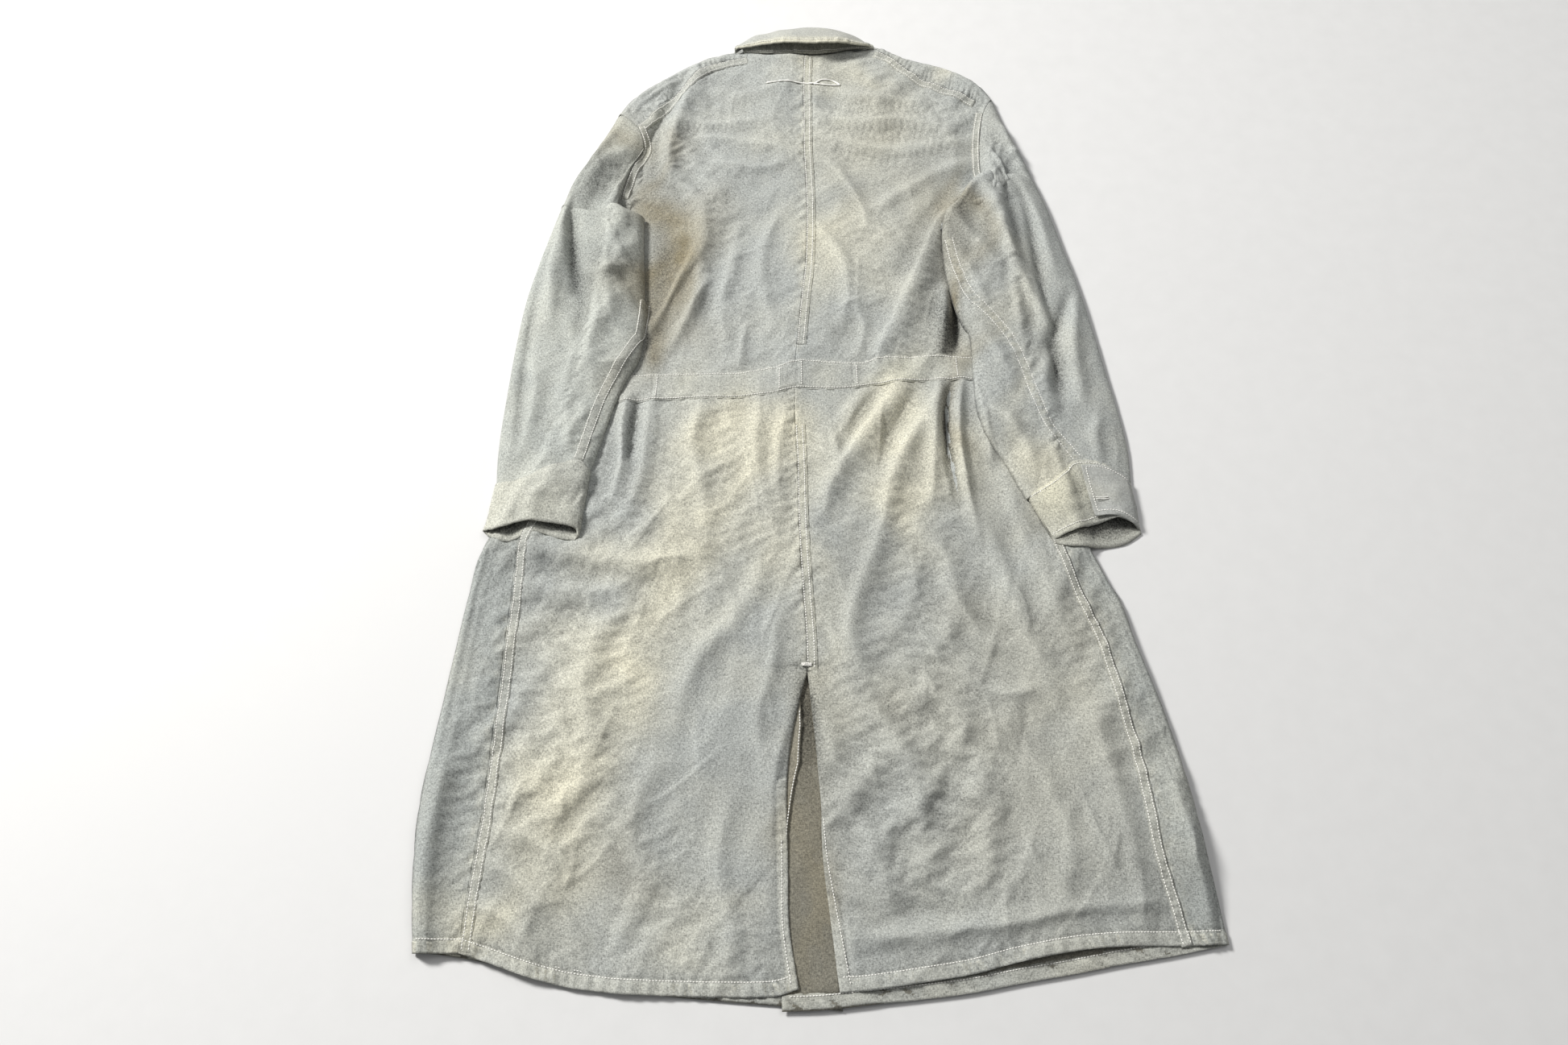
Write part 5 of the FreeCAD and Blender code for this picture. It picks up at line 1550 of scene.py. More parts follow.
LEFT_SLEEVE = SleeveLines(
    armhole=LEFT_ARMHOLE[::-1], tuck=[(-238, 292), (-255, 288), (-272, 292), (-288, 303), (-323, 331)],
    fold=[(-213, 312), (-237, 316), (-257, 322), (-276, 316), (-290, 320), (-323, 331)],
    cap=[(-323, 331), (-309, 380), (-289, 419), (-268, 462), (-257.5, 487.9)],
    inner=[(-259, -60), (-252, -32), (-240, 17), (-225, 61), (-206, 105), (-206, 184), (-211, 262),
           (-213, 312)],
    outer=[(-370, -72), (-372, -40), (-372, -6), (-370, 36), (-365, 115), (-358, 184), (-348, 233),
           (-336, 282), (-323, 331)],
    cuff=[(-259, -60), (-274, -51), (-309, -61), (-333, -73), (-370, -72)],
    mouth=[(-268, -139), (-276, -129), (-328, -125), (-358, -131), (-378, -129)],
    lower=[(-270, -144), (-289, -142), (-319, -135), (-348, -145), (-374, -135)],
    seam=[(-206, 184), (-208, 134), (-215, 115), (-235, 76), (-252, 36), (-264, -10), (-272, -48)],
    folds=[Fold([(-294, 384), (-307, 338), (-307, 301), (-299, 242), (-292, 193)], 10, -7, 0.2),
           Fold([(-235, 419), (-269, 399), (-299, 360), (-314, 321), (-323, 282), (-328, 233),
                 (-321, 150)], 13, 5),
           Fold([(-318, 295), (-336, 242), (-346, 184), (-351, 60), (-346, -20)], 8, -3.5),
           Fold([(-216, 270), (-240, 240), (-252, 200), (-246, 150)], 13, 3),
           Fold([(-240, 180), (-262, 140), (-270, 100), (-262, 60)], 12, 3),
           Fold([(-300, 150), (-290, 110), (-296, 60), (-306, 20)], 12, 3),
           Fold([(-346, 100), (-332, 60), (-336, 10), (-346, -30)], 10, 2.6),
           Fold([(-262, 30), (-282, 0), (-290, -30)], 9, 2.2),
           Fold([(-232, 225), (-262, 215), (-286, 228)], 8, 2.0),
           Fold([(-218, 95), (-246, 84), (-270, 96)], 8, 1.8),
           Fold([(-262, 455), (-270, 430), (-286, 400)], 9, 3)],
    open=(3.5, 5.5), thick=12.0)
RIGHT_SLEEVE = SleeveLines(
    armhole=RIGHT_ARMHOLE[::-1], tuck=[(226, 312), (238, 328), (252, 350), (272, 374), (299, 372)],
    fold=[(171, 289), (176, 302), (191, 318), (210, 349), (230, 369), (249, 379), (270, 377), (299, 372)],
    cap=[(299, 372), (285, 420), (266, 468), (252.8, 514.7)],
    inner=[(251, -90), (239, -65), (225, -35), (210, -12), (203, 8), (198, 40), (198, 121), (191, 142),
           (181, 172), (174, 209), (170, 258), (171, 289)],
    outer=[(376, -72), (377, -20), (371, 33), (363, 82), (357, 121), (347, 179), (337, 228), (327, 267),
           (313, 326), (299, 372)],
    cuff=[(251, -90), (279, -74), (298, -58), (310, -45), (342, -48), (376, -72)],
    mouth=[(278, -141), (298, -132), (327, -122), (357, -115), (381, -126)],
    lower=[(277, -146), (298, -150), (330, -149), (360, -144), (382, -130)],
    seam=[(176, 267), (186, 218), (200, 180), (225, 150), (244, 121), (259, 82), (269, 43), (283, 4),
          (301, -21), (314, -40)],
    folds=[Fold([(249, 382), (264, 372), (274, 355), (283, 316), (288, 258), (293, 199),
                 (298, 152)], 9, -4.6, 0.2),
           Fold([(268, 380), (284, 340), (298, 290), (306, 230)], 12, 4),
           Fold([(225, 358), (239, 306), (249, 258), (276, 182), (298, 131)], 11, 4.5, 0.2),
           Fold([(181, 297), (206, 262), (230, 228)], 10, 3.5),
           Fold([(327, 191), (312, 158), (300, 126), (301, 90), (303, 52)], 9, -5),
           Fold([(336, 190), (326, 140), (322, 90), (326, 40)], 11, 4),
           Fold([(292, 100), (282, 60), (290, 20)], 8, 3),
           Fold([(205, 130), (226, 100), (240, 60)], 10, 3),
           Fold([(208, 30), (232, 10), (250, -20), (262, -60)], 10, 3.4),
           Fold([(345, 20), (336, -10), (340, -40)], 8, 2.6),
           Fold([(190, 240), (205, 200), (216, 170)], 8, 2.6),
           Fold([(262, 470), (268, 430), (282, 400)], 9, 3)],
    open=(3.5, 14.0), thick=14.0)


@dataclass
class Sleeve:
    """One sleeve: an upper and a lower sheet, folded over at the underarm, with a cuff."""

    side: Side
    lines: SleeveLines
    columns: int = 40
    cap_rows: int = 34
    main_rows: int = 120
    puff: tuple = ((-90, 12.0), (50, 15.0), (150, 18.0), (250, 21.0), (330, 24.0), (500, 24.0))

    @property
    def word(self) -> str:
        """The side's name in pieces' names."""
        return self.side.name.lower()

    @property
    def bend(self) -> tuple:
        """The bend values passed with the sleeve's pieces, from the coat at the underarm to its own body
        below.
        """
        ends = (((-245, 430, 20), (-285, 300, 20)) if self.side is Side.LEFT
                else ((240, 440, 20), (285, 310, 20)))
        return (COAT, f"{self.word}_sleeve", *ends)

    def puffed(self, y: Array) -> Array:
        """How far the upper sheet stands above what it lies on."""
        return np.interp(y, [r[0] for r in self.puff], [r[1] for r in self.puff])

    def sheets(self, shop: Workshop) -> tuple[Array, Array]:
        """The points of the upper sheet and of the lower one.

        The upper sheet runs from the armhole down the cap to the tuck, back up to the fold, and
        down to the cuff. Across, its height follows a superellipse with exponent 3.
        """
        g, n = self.lines, self.columns
        ease = 0.75
        armhole, tuck, fold = (curve(k, n, ease) for k in (g.armhole, g.tuck, g.fold))
        cap = coons(tuck, armhole, curve([g.tuck[0], g.armhole[0]], self.cap_rows),
                    curve(g.cap, self.cap_rows))[::-1]
        main = coons(curve(g.cuff, n, ease), fold, curve(g.inner, self.main_rows),
                     curve(g.outer, self.main_rows))[::-1]
        extra = [main[0] + (main[1] - main[0]) * k for k in (0.0, 0.12, 0.3, 0.55)]
        main = np.concatenate([np.array(extra), main[1:]], 0)
        x, y = main[..., 0], main[..., 1]
        soft = shop.top.soft(36)
        floor = np.maximum(shop.top.at(x, y), soft.at(x, y))
        width = np.linalg.norm(main[:, -1:] - main[:, :1], axis=-1)
        w = np.clip(np.linalg.norm(main - main[:, :1], axis=-1) / width, 0, 1)
        w[:, -1] = 1
        round_up = (1 - np.abs(2 * w - 1) ** 3.0) ** (1 / 2.2)
        lift = self.puffed(y) * round_up
        quiet = np.clip(np.minimum(w, 1 - w) / 0.12, 0, 1) ** 0.7
        z_main = floor + 0.9 + np.maximum(lift + self.bump(x, y) * quiet * round_up, 0.3 * lift)
        depth = np.linalg.norm(fold - tuck, axis=1)[None]
        much = np.clip(depth / 14, 0, 1)
        at_tuck = floor[:1] + 0.9 + lift[:1] * (0.35 * much + (1 - much))
        z_cap = self.cap(shop, cap, armhole, at_tuck)
        z_edge = z_cap[-1:] * 0.35 + z_main[4:5] * 0.65
        rise = z_edge + (z_main - z_edge) * quarter(to_path(x, y, fold)[0], 7.0)
        z_main = z_main * (1 - much) + much * rise
        b = np.linspace(0, 1, 10)[1:-1, None]
        bridge = tuck[None] + b[..., None] * (fold - tuck)[None]
        z_bridge = z_cap[-1:] + (z_edge - z_cap[-1:]) * (0.25 + 0.6 * b**3) * much
        z_bridge = z_bridge * much + (z_cap[-1:] * (1 - b) + z_main[:1] * b) * (1 - much)
        over = np.concatenate([raised(cap, z_cap), raised(bridge, z_bridge), raised(main, z_main)])
        low_cap = np.maximum(soft.at(cap[..., 0], cap[..., 1]) * 0.4, 1.5)
        under = np.concatenate([raised(cap, low_cap), raised(main[4:], floor[4:] + 0.5)])
        under[-1:, :, 2] = z_main[-1:].min()
        return over, under

    def bump(self, x: Array, y: Array) -> Array:
        """Folds, creases and crushed facets of the part below the fold."""
        z = 0.6 * crumple(x, y, 80, 41, 75, 2.2) + 2.0 * facets(x, y, 60, 43, 80, 2.0)
        z = z + 0.7 * facets(x, y, 24, 44, 70, 1.5)
        box = (x.min(), y.min(), x.max(), y.max())
        z = z + creases(x, y, box, 26, 311, 80, 22, 46, 2.8, 2.0)
        z = z + creases(x, y, box, 22, 312, 20, 20, 26, 2.4, 1.2)
        return z + sum(2.4 * item.height(x, y) for item in self.lines.folds)

    def cap(self, shop: Workshop, cap: Array, armhole: Array, at_tuck: Array) -> Array:
        """Heights of the cap: from the back's cloth at the armhole to the tuck, with a bulge.

        Args:
            shop: gives the cloth that it lies on.
            cap: its plan, from armhole to tuck.
            armhole: its first line.
            at_tuck: the height at its last line.

        Returns:
            One height for each point.
        """
        x, y = cap[..., 0], cap[..., 1]
        edge = to_path(x, y, self.lines.cap)[0]
        v = np.linspace(0, 1, self.cap_rows)[:, None]
        down = step(v, 0, 0.8)
        at_arm = shop.top.at(armhole[:, 0], armhole[:, 1])[None] + 0.6
        z = at_arm * (1 - down) + (at_tuck + 2) * down
        z = z + 5.0 * np.sin(np.pi * v) * np.clip(edge / 30, 0, 1)
        fine = 1.2 * crumple(x, y, 50, 51) + 0.8 * crumple(x, y, 22, 52)
        z = z + fine * np.sin(np.pi * v)
        for item in self.lines.folds:
            z = z + 2.0 * item.height(x, y) * step(v, 0.02, 0.3)
        z = np.maximum(z, np.where(edge > 16, shop.top.at(x, y) + 0.4, 0))
        return 3.0 + (z - 3.0) * quarter(edge, 16)

    def build(self, shop: Workshop) -> None:
        """Makes the sleeve, its felled seam and its cuff."""
        left, word, bend = self.side is Side.LEFT, self.word, self.bend
        over, under = (finer(k) for k in self.sheets(shop))
        over[..., 2] += 0.10 * crumple(over[..., 0], over[..., 1], 9, 63)
        flat = over[..., :2].copy()
        run = np.concatenate([[0], np.cumsum(np.linalg.norm(np.diff(over[:, 30], axis=0), axis=1))])
        flat[..., 1] = 480 - run[:, None] + (over[..., 1] - over[:, 30:31, 1])
        # The left sleeve is drawn paler, with a little more fade and the paler sleeve copy of the cloth:
        # painted light.
        marks = marks_for(over, [self.lines.seam], fade=0.075 if left else 0.0, dark=0.9)
        rests_on = [f"{word}_side_upper", "floor"]
        shop.piece(f"{word}_sleeve_over", over, "sleeve" if left else "cloth", "cloth", bend=bend,
                   lies=("folded", rests_on), uv=flat, marks=marks)
        shop.piece(f"{word}_sleeve_under", under, "cloth", "cloth", bend=bend,
                   lies=("laid", rests_on), flip=True)
        shop.top = shop.top.add(over)
        shop.seam(f"{word}_sleeve_seam", self.lines.seam, -5.5, 5.5, (1, -2), (11, 13), 0.05,
                  f"{word}_sleeve_over", f"{word}_sleeve")
        self.cuff(shop)

    def cuff(self, shop: Workshop) -> None:
        """The cuff: a flattened ring of doubled cloth whose mouth stands open."""
        g, n, rows = self.lines, 44, 20
        top, mouth, low = (curve(k, n, 0.7) for k in (g.cuff, g.mouth, g.lower))
        top = top + np.array([0, 3.0])
        v = np.linspace(0, 1, rows)[:, None]
        upper, lower = (top[None] * (1 - v[..., None]) + k[None] * v[..., None] for k in (mouth, low))
        u = np.linspace(0, 1, n)
        w = u - 0.7 * np.sin(2 * np.pi * u) / (2 * np.pi)
        ring = (1 - np.abs(2 * w - 1) ** 3.2) ** (1 / 2.2)
        gape = (g.open[0] + (g.open[1] - g.open[0]) * step(w, 0.45, 0.8)) * ring
        x, y = upper[..., 0], upper[..., 1]
        ground_u, ground_l = (np.maximum(shop.soft_ground.at(k[..., 0], k[..., 1]), 0)
                              for k in (upper, lower))
        at_mouth = step(v, 0.1, 1.0)
        edge = self.puffed(np.array([-80.0]))[0] + 1.2
        rise = edge * (1 - at_mouth) + (gape[None] + 3.2 * ring[None]) * at_mouth
        tick = waves(x + 0.4 * y, y * 0.15, 8.5, 91) * 0.45 * (bell(v, 0.93, 0.14) + bell(v, 0.05, 0.12))
        z_up = ground_u + 2.2 + rise * ring[None] + tick + 0.8 * crumple(x, y, 34, 93) * np.sin(np.pi * v)
        z_low = ground_l + 0.6 + 0.3 * crumple(lower[..., 0], lower[..., 1], 34, 94)
        z_up = np.maximum(z_up, z_low + 1.6 * ring[None])
        z_up[:, [0, -1]] = 0.5 * (z_up + z_low)[:, [0, -1]]
        tube = np.concatenate([raised(upper, z_up), raised(lower, z_low)[:, -2:0:-1]], 1)
        uv = tube[..., :2].copy()
        uv[:, n:, 1] += 300
        marks = marks_for(tube, fade=0.2)
        # Less of the painted ridge light and hollow shade on the cuff.
        marks["wear_and_relief_shading"] = np.clip(marks["wear_and_relief_shading"] * 0.4, -0.6, 0.9)
        inside = (np.arange(tube.shape[1]) >= n) * (1 - step(v, 0.8, 0.97))
        marks["shade"] = marks["shade"] + 0.6 * inside
        name, body = f"{self.word}_cuff", f"{self.word}_sleeve"
        shop.piece(name, tube[::-1], "band", body=body, drawn=tube, uv=uv[::-1], wrap=True,
                   lies=("folded", [f"{self.word}_side_skirt", "floor"]), thick=1.8,
                   marks={k: m[::-1] for k, m in marks.items()})
        rows_at = [tube[1, 2:n - 2], tube[rows - 3, 2:n - 2]]
        shop.stitch(name + "_stitches", rows_at, name, 17, body=body)
        shop.top = shop.top.add(tube[:, :n])
        self.button(shop, float(tube[10, n + 20, 2]))
        if self.side is Side.RIGHT:
            self.tab(shop)

    def button(self, shop: Workshop, low: float) -> None:
        """The cuff's button: on top on the right, and under the ply at height low on the left."""
        shape, faces = button_shape(6.0, 1.8)
        if self.side is Side.RIGHT:
            high = float(shop.top.at(np.array([336.0]), np.array([-92.0]))[0])
            place = np.array([[336.0, -92.0, high - 0.3]])
        else:
            place = np.array([[-330.0, -98.0, low - 0.2]])
            shape, faces = shape * np.array([1, 1, -1.0]), [f[::-1] for f in faces]
        name = f"{self.word}_cuff_button"
        obj = copies(name, shop.finishes["button"], shape, faces, place, np.array([[1.0, 0, 0]]),
                     np.array([[0, 0, 1.0]]))
        shop.place(obj, "buttons", name, body=f"{self.word}_sleeve")

    def tab(self, shop: Workshop) -> None:
        """The loose end of the right cuff, which laps over the cuff."""
        outer = curve([(380, -126), (379, -92), (374, -66)], 22)
        inner = curve([(327, -113), (320, -80), (315, -50)], 22)
        plan = coons(curve([inner[0], (350, -114), outer[0]], 26),
                     curve([inner[-1], (342, -50), outer[-1]], 26), inner, outer)
        x, y = plan[..., 0], plan[..., 1]
        w, v = np.linspace(0, 1, 26)[None], np.linspace(0, 1, 22)[:, None]
        z = shop.top.soft(3).at(x, y) + 2.6 + 1.4 * (1 - w) ** 2
        z += 1.2 * bell(v, 0, 0.15) * (1 - w) - 3.4 * np.clip((w - 0.86) / 0.14, 0, 1) ** 2
        p = raised(plan, z + 0.35 * waves(x, y, 22, 95))
        name = "right_cuff_tab"
        bend = ("right_sleeve", name, (377, -96.3, 0), (361, -97.9, 0))
        shop.piece(name, finer(p), "collar", bend=bend, lies=("laid", ["right_cuff"]), drawn=p,
                   thick=1.7, marks=marks_for(finer(p), strength=0.5))
        rim = [p[2, 2:-2], p[2:-1, 2], p[-2, 2:-2]]
        shop.stitch(name + "_stitches", rim, name, 23, bend=bend)
        high = p[10, 6:12, 2].mean() + 0.4
        bar = [np.stack([np.linspace(329, 343, 30), np.full(30, k), np.full(30, high)], 1)
               for k in (-90.9, -93.1)]
        shop.stitch("right_cuff_buttonhole", bar, name, 29, lift=0, pitch=1.6, body=name)


# ---------------------------------------------------------------- collar
@dataclass
class Collar:
    """The stand, the fall that turns over it, and the points on the front side."""

    columns: int = 90

    def build(self, shop: Workshop) -> None:
        """Makes the three collar parts and the label inside the neck."""
        self.stand(shop)
        self.fall(shop)
        self.points(shop)
        x, y = np.meshgrid(np.linspace(-50, 45, 12), np.linspace(552, 584, 8))
        p = np.stack([x, y, shop.top.at(x, y) - 1.9], 2)
        shop.piece("neck_label", p, "label", "label", lies=("laid", ["left_back_upper"]), flip=True,
                   thick=0.4)

    def stand(self, shop: Workshop) -> None:
        """The stand: it rises from the neck seam, with short gathers in its middle."""
        n, m, name = self.columns, 18, "collar_stand"
        low = curve([(-88, 596), (-60, 591), (0, 590.5), (22, 592), (45, 600), (66, 604),
                     (94, 604)], n)
        high = curve([(-92, 604), (-50, 624), (0, 629), (36, 627), (66, 618), (92, 608)], n)
        q = between(low, high, m)
        v = np.linspace(0, 1, m)[:, None]
        x, y = q[..., 0], q[..., 1]
        gather = bell(x, -36, 26) + 0.35 * bell(x, 10, 22)
        gather = gather * waves(x + 0.2 * y, y * 0.1, 6.5, 101) * np.sin(np.pi * np.clip(v, 0.05, 1))
        z = shop.top.at(x, np.minimum(y, 588)) + 1.1 + 3.0 * v + 1.2 * np.sin(np.pi * v)
        z += 0.75 * gather + 0.35 * waves(x, y, 26, 102)
        z[0] -= 1.2
        p = finer(raised(q, z))
        shop.piece(name, p, "seam", lies=("laid", ["left_back_upper", "right_back_upper"]),
                   thick=1.2, marks=marks_for(p, fade=0.15))
        shop.stitch(name + "_stitches", [p[4, 4:-4]], name, 31, lift=0.2)

    def fall(self, shop: Workshop) -> None:
        """The fall: it turns over its roll and its free edge stands up off the stand.

        From the roll to the free edge its height is a straight rise with a half sine on it, and
        past both ends of that it curls under.
        """
        n, name = self.columns, "collar_fall"
        roll = curve([(-101, 601), (-89, 611), (-68, 622), (-35, 631), (0, 635), (25, 634.5),
                      (50, 629), (72, 618), (89, 606)], n)
        free = curve([(-99, 600), (-80, 597), (-45, 597), (-5, 594), (30, 594), (60, 598),
                      (88, 605)], n)
        mid = np.sin(np.pi * np.linspace(0, 1, n)) ** 0.6
        z0, z1 = 12.0 + 5 * mid, 14.0 + 19 * mid
        z1 = z1 + 2.2 * bell(free[:, 0], 40, 24) - 1.5 * bell(free[:, 0], -50, 30)
        v = np.linspace(0, 1, 22)[:, None]
        body = roll[None] * (1 - v[..., None]) + free[None] * v[..., None]
        x, y = body[..., 0], body[..., 1]
        z = z0[None] * (1 - v) + z1[None] * v + 4.5 * np.sin(np.pi * v) * mid[None]
        z = z + 0.5 * waves(x, y, 40, 111) + 0.5 * waves(x, y * 0.15, 9, 112) * bell(v, 0.9, 0.12)
        rows = raised(body, z)
        down = [rows[:1] + np.array([0, dy, dz])
                for dy, dz in ((-3.0, -8.5), (0.0, -6.5), (1.4, -3.6), (1.0, -1.4))]
        curl = [rows[-1:] + np.array([0, dy, dz])
                for dy, dz in ((-1.2, -0.7), (-1.6, -2.0), (-0.6, -3.2), (1.6, -3.6), (5, -3.4))]
        p = finer(np.concatenate([*down, rows, *curl]))[::-1]
        marks = marks_for(p, strength=0.6)
        t = np.linspace(1, 0, p.shape[0])[:, None]
        marks["fade"] = np.clip(0.15 + 0.75 * bell(t, 0.80, 0.12) * np.ones(p.shape[:2]), 0, 1)
        bend = (COAT, name, (0, 0, 14.5), (0, 0, 25))
        shop.piece(name, p, "collar", bend=bend, lies=("folded", ["collar_stand"]), thick=1.4,
                   marks=marks)
        shop.stitch(name + "_stitches", [p[14, 6:-6]], name, 37, lift=0.2, bend=bend)

    def points(self, shop: Workshop) -> None:
        """The collar's front part, with its two points, flat underneath."""
        low = curve([(-112, 524), (-60, 538), (-30, 522), (0, 520), (22, 522), (60, 536),
                     (112, 524)], 60)
        high = curve([(-102, 604), (-60, 628), (-5, 633), (40, 630), (102, 611)], 60)
        q = coons(low, high, curve([low[0], (-116, 560), high[0]], 20),
                  curve([low[-1], (118, 562), high[-1]], 20))
        p = raised(q, 0.9 + 0.06 * waves(q[..., 0], q[..., 1], 50, 120))
        shop.piece("collar_points", p, "collar", lies=("laid", ["floor"]), flip=True, thick=1.2,
                   marks=marks_for(p, strength=0.4))


# ---------------------------------------------------------------- seams, hems and waistband
@dataclass
class Trims:
    """Everything sewn on the back: felled seams, waistband, hems, vent facings, tacks and pleats."""

    wide: float = 12.0

    def build(self, shop: Workshop, back: Back) -> None:
        """Makes them in the order in which they lie on each other."""
        self.seams(shop)
        self.waistband(shop)
        for side in Side:
            self.hem(shop, back, side)
            self.pleat(shop, side)
        self.tacks(shop)

    def seams(self, shop: Workshop) -> None:
        """The felled seams, each with two rows of stitches."""
        wide = self.wide
        rows = (("centre_back_seam", [q for q in CENTRE_UP[::-1] if q[1] > 100], 0.0, wide,
                 "right_back_upper"),
                ("centre_skirt_seam", CENTRE[::-1][1:], 0.0, wide, "right_back_skirt"),
                ("left_side_seam", LEFT_SEAM[:-1], -wide, -0.5, "left_side_skirt"),
                ("right_side_seam", RIGHT_SEAM[:-1], 0.5, wide, "right_side_skirt"),
                ("left_shoulder_seam", LEFT_SHOULDER_SEAM, 0.5, 14, "left_back_upper"),
                ("right_shoulder_seam", RIGHT_SHOULDER_SEAM[:-1] + [(231, 509.5)], -13, -0.5,
                 "right_back_upper"),
                ("left_armhole_seam", LEFT_ARMHOLE[1:-1] + [(-246, 344)], 0.5, 11,
                 "left_back_upper"),
                ("right_armhole_seam", RIGHT_ARMHOLE[1:-1] + [(240, 344)], -11, -0.5,
                 "right_back_upper"))
        for k, (name, path, low, high, owner) in enumerate(rows):
            columns = (2, -3) if k > 1 else (3, -2)
            shop.seam(name, path, low, high, columns, (41 + k, 61 + k), 0.02, owner)

    def waistband(self, shop: Workshop) -> None:
        """The waistband, in six lengths joined end to end, stitched along both edges."""
        n, m, name = 220, 20, "back_waistband"
        q = between(curve(BAND_BOTTOM, n), curve(BAND_TOP, n), m)
        t = np.linspace(-1, 1, m)[:, None]
        x, y = q[..., 0], q[..., 1]
        z = shop.top.soft(2).at(x, y) + 1.5 * (1 - np.abs(t) ** 8) - 0.3 * bell(np.abs(t), 0.86, 0.07)
        rope = waves(x + 2 * t, y * 0.12, 10, 131) * (0.25 + 0.75 * np.abs(t) ** 3)
        z = z + 0.3 * rope + 0.35 * crumple(x, y, 30, 132)
        joins = (-191, -43, -16, 52, 173)
        for j in joins:
            z = z - 0.7 * bell(x, j, 1.2) + 0.5 * bell(x, j + 4, 3.5)
        p = finer(raised(q, z))
        shop.piece(name, p, "band", lies=("laid", ["left_back_upper", "right_back_skirt"]),
                   thick=1.4, marks=marks_for(p))
        rows = [p[3, 4:-4], p[-4, 4:-4]]
        rows += [p[5:-5, int(np.argmin(np.abs(p[m, :, 0] - (j + 5))))] for j in joins]
        shop.stitch(name + "_stitches", rows, name, 71, lift=0.2)

    def hem(self, shop: Workshop, back: Back, side: Side) -> None:
        """The back hem and vent facing of one side: plies under the sheet's edge, and stitches."""
        left, word, weld = side is Side.LEFT, side.name.lower(), 2 * back.weld
        p = back.grids[side][0]
        down = np.array([0, 0, -0.9])
        on = {"bend": flap_bend(side), "owner": f"{word}_back_skirt"}
        shop.piece(f"{word}_back_hem", p[:6] + down, "seam", **on, flip=True,
                   marks=marks_for(p[:6], fade=0.2))
        if left:
            edge = facing = self.turned_edge(p[:weld - 12, -6:])
            half = int(weld * 0.46)
            rows = [p[6, 4:-2], p[3:half, -4], edge[half:-6, -2] - down]
        else:
            edge = p[:weld - 12, :6]
            facing = edge + down
            r = np.arange(weld - 70) + 3
            at = np.linspace(5.0, 1.0, len(r))
            c = at.astype(int)
            f = (at - c)[:, None]
            rows = [p[6, 2:-4], p[r, c] * (1 - f) + p[r, c + 1] * f]
        shop.piece(f"{word}_vent_facing", facing, "inner", "cloth", **on, flip=not left, thick=0.6,
                   marks=marks_for(edge, fade=0.3, strength=0.4))
        shop.stitch(f"{word}_back_hem_stitches", rows, seed=83, **on)

    @staticmethod
    def turned_edge(edge: Array) -> Array:
        """The left vent's facing: a strip just under the cloth, which shows past its edge.

        Args:
            edge: (rows, 6, 3) points of the sheet along the vent.

        Returns:
            (rows, 12, 3) points; the last lie up to 12 mm past the sheet's edge.
        """
        start, stop = edge[:, :1], edge[:, -1:]
        wide = np.interp(start[:, :, 1], [-640, -472, -440, -400, -360, -330], [0, 0, 5, 12, 8, 0])
        s = np.linspace(0, 1, 12)[None]
        x = start[..., 0] + (stop[..., 0] + wide - start[..., 0]) * s
        y = start[..., 1] + (stop[..., 1] - start[..., 1]) * s
        near = np.stack([np.interp(a, b, c) for a, b, c in zip(x, edge[..., 0], edge[..., 2])])
        past = np.clip(x - stop[..., 0], 0, None)
        z = near - 1.5 + 0.08 * past + 0.25 * waves(x, y, 12, 81) * np.clip(past / 3, 0, 1)
        return np.stack([x, y, z], 2)

    def pleat(self, shop: Workshop, side: Side) -> None:
        """The pleat's inner ply, just under the sheet below the waistband."""
        word = side.name.lower()
        box = (-221, -199, -18, 54) if side is Side.LEFT else (162, 184, -88, 80)
        x, y = np.meshgrid(np.linspace(*box[:2], 10), np.linspace(*box[2:], 30))
        p = np.stack([x, y, shop.top.soft(4).at(x, y) - 2.0], 2)
        shop.piece(f"{word}_back_pleat", p, "cloth", "cloth", owner=f"{word}_back_skirt", thick=0.7)

    def tacks(self, shop: Workshop) -> None:
        """The bar tack at the top of the vent, and the hand tacking across the shoulders."""
        s = np.linspace(0, 1, 40)
        x, y = -12.5 + 10.5 * s, -290.2 + 1.5 * np.sign(np.sin(s * 44))
        zigzag = np.stack([x, y, shop.top.at(x, y) + 1.3], 1)
        bar = stitches("vent_bar_tack", [zigzag], shop.finishes["thread"], pitch=1.5, seed=91)
        shop.place(bar, "thread", "vent_bar_tack")
        line = curve([(-57, 538), (-34, 539.5), (-10, 538.5), (10, 537), (20, 541.5), (34, 542),
                      (44, 534.5), (30, 532.5), (8, 536)], 90)
        path = raised(line, shop.top.at(line[:, 0], line[:, 1]) + 1.0)
        self.thread(shop, "neck_tacking", path, 0.95)

    @staticmethod
    def thread(shop: Workshop, name: str, path: Array, radius: float) -> None:
        """A thread: a circle moved along a path, a little thick and thin."""
        d = np.gradient(path, axis=0)
        d /= np.linalg.norm(d, axis=1, keepdims=True)
        a = np.cross(d, [0, 0, 1.0])
        a /= np.linalg.norm(a, axis=1, keepdims=True)
        b = np.cross(a, d)
        w = np.arange(8) * 2 * np.pi / 8
        r = radius * (1 + 0.2 * waves(np.arange(len(path)), 0 * path[:, 0], 6, 97))
        r[0] = r[-1] = 0.05
        p = path[:, None] + r[:, None, None] * (a[:, None] * np.cos(w)[None, :, None]
                                                + b[:, None] * np.sin(w)[None, :, None])
        obj = surface(name, p, shop.finishes["thread"], wrap=True, thick=0)
        shop.place(obj, "thread", owner="left_back_upper")


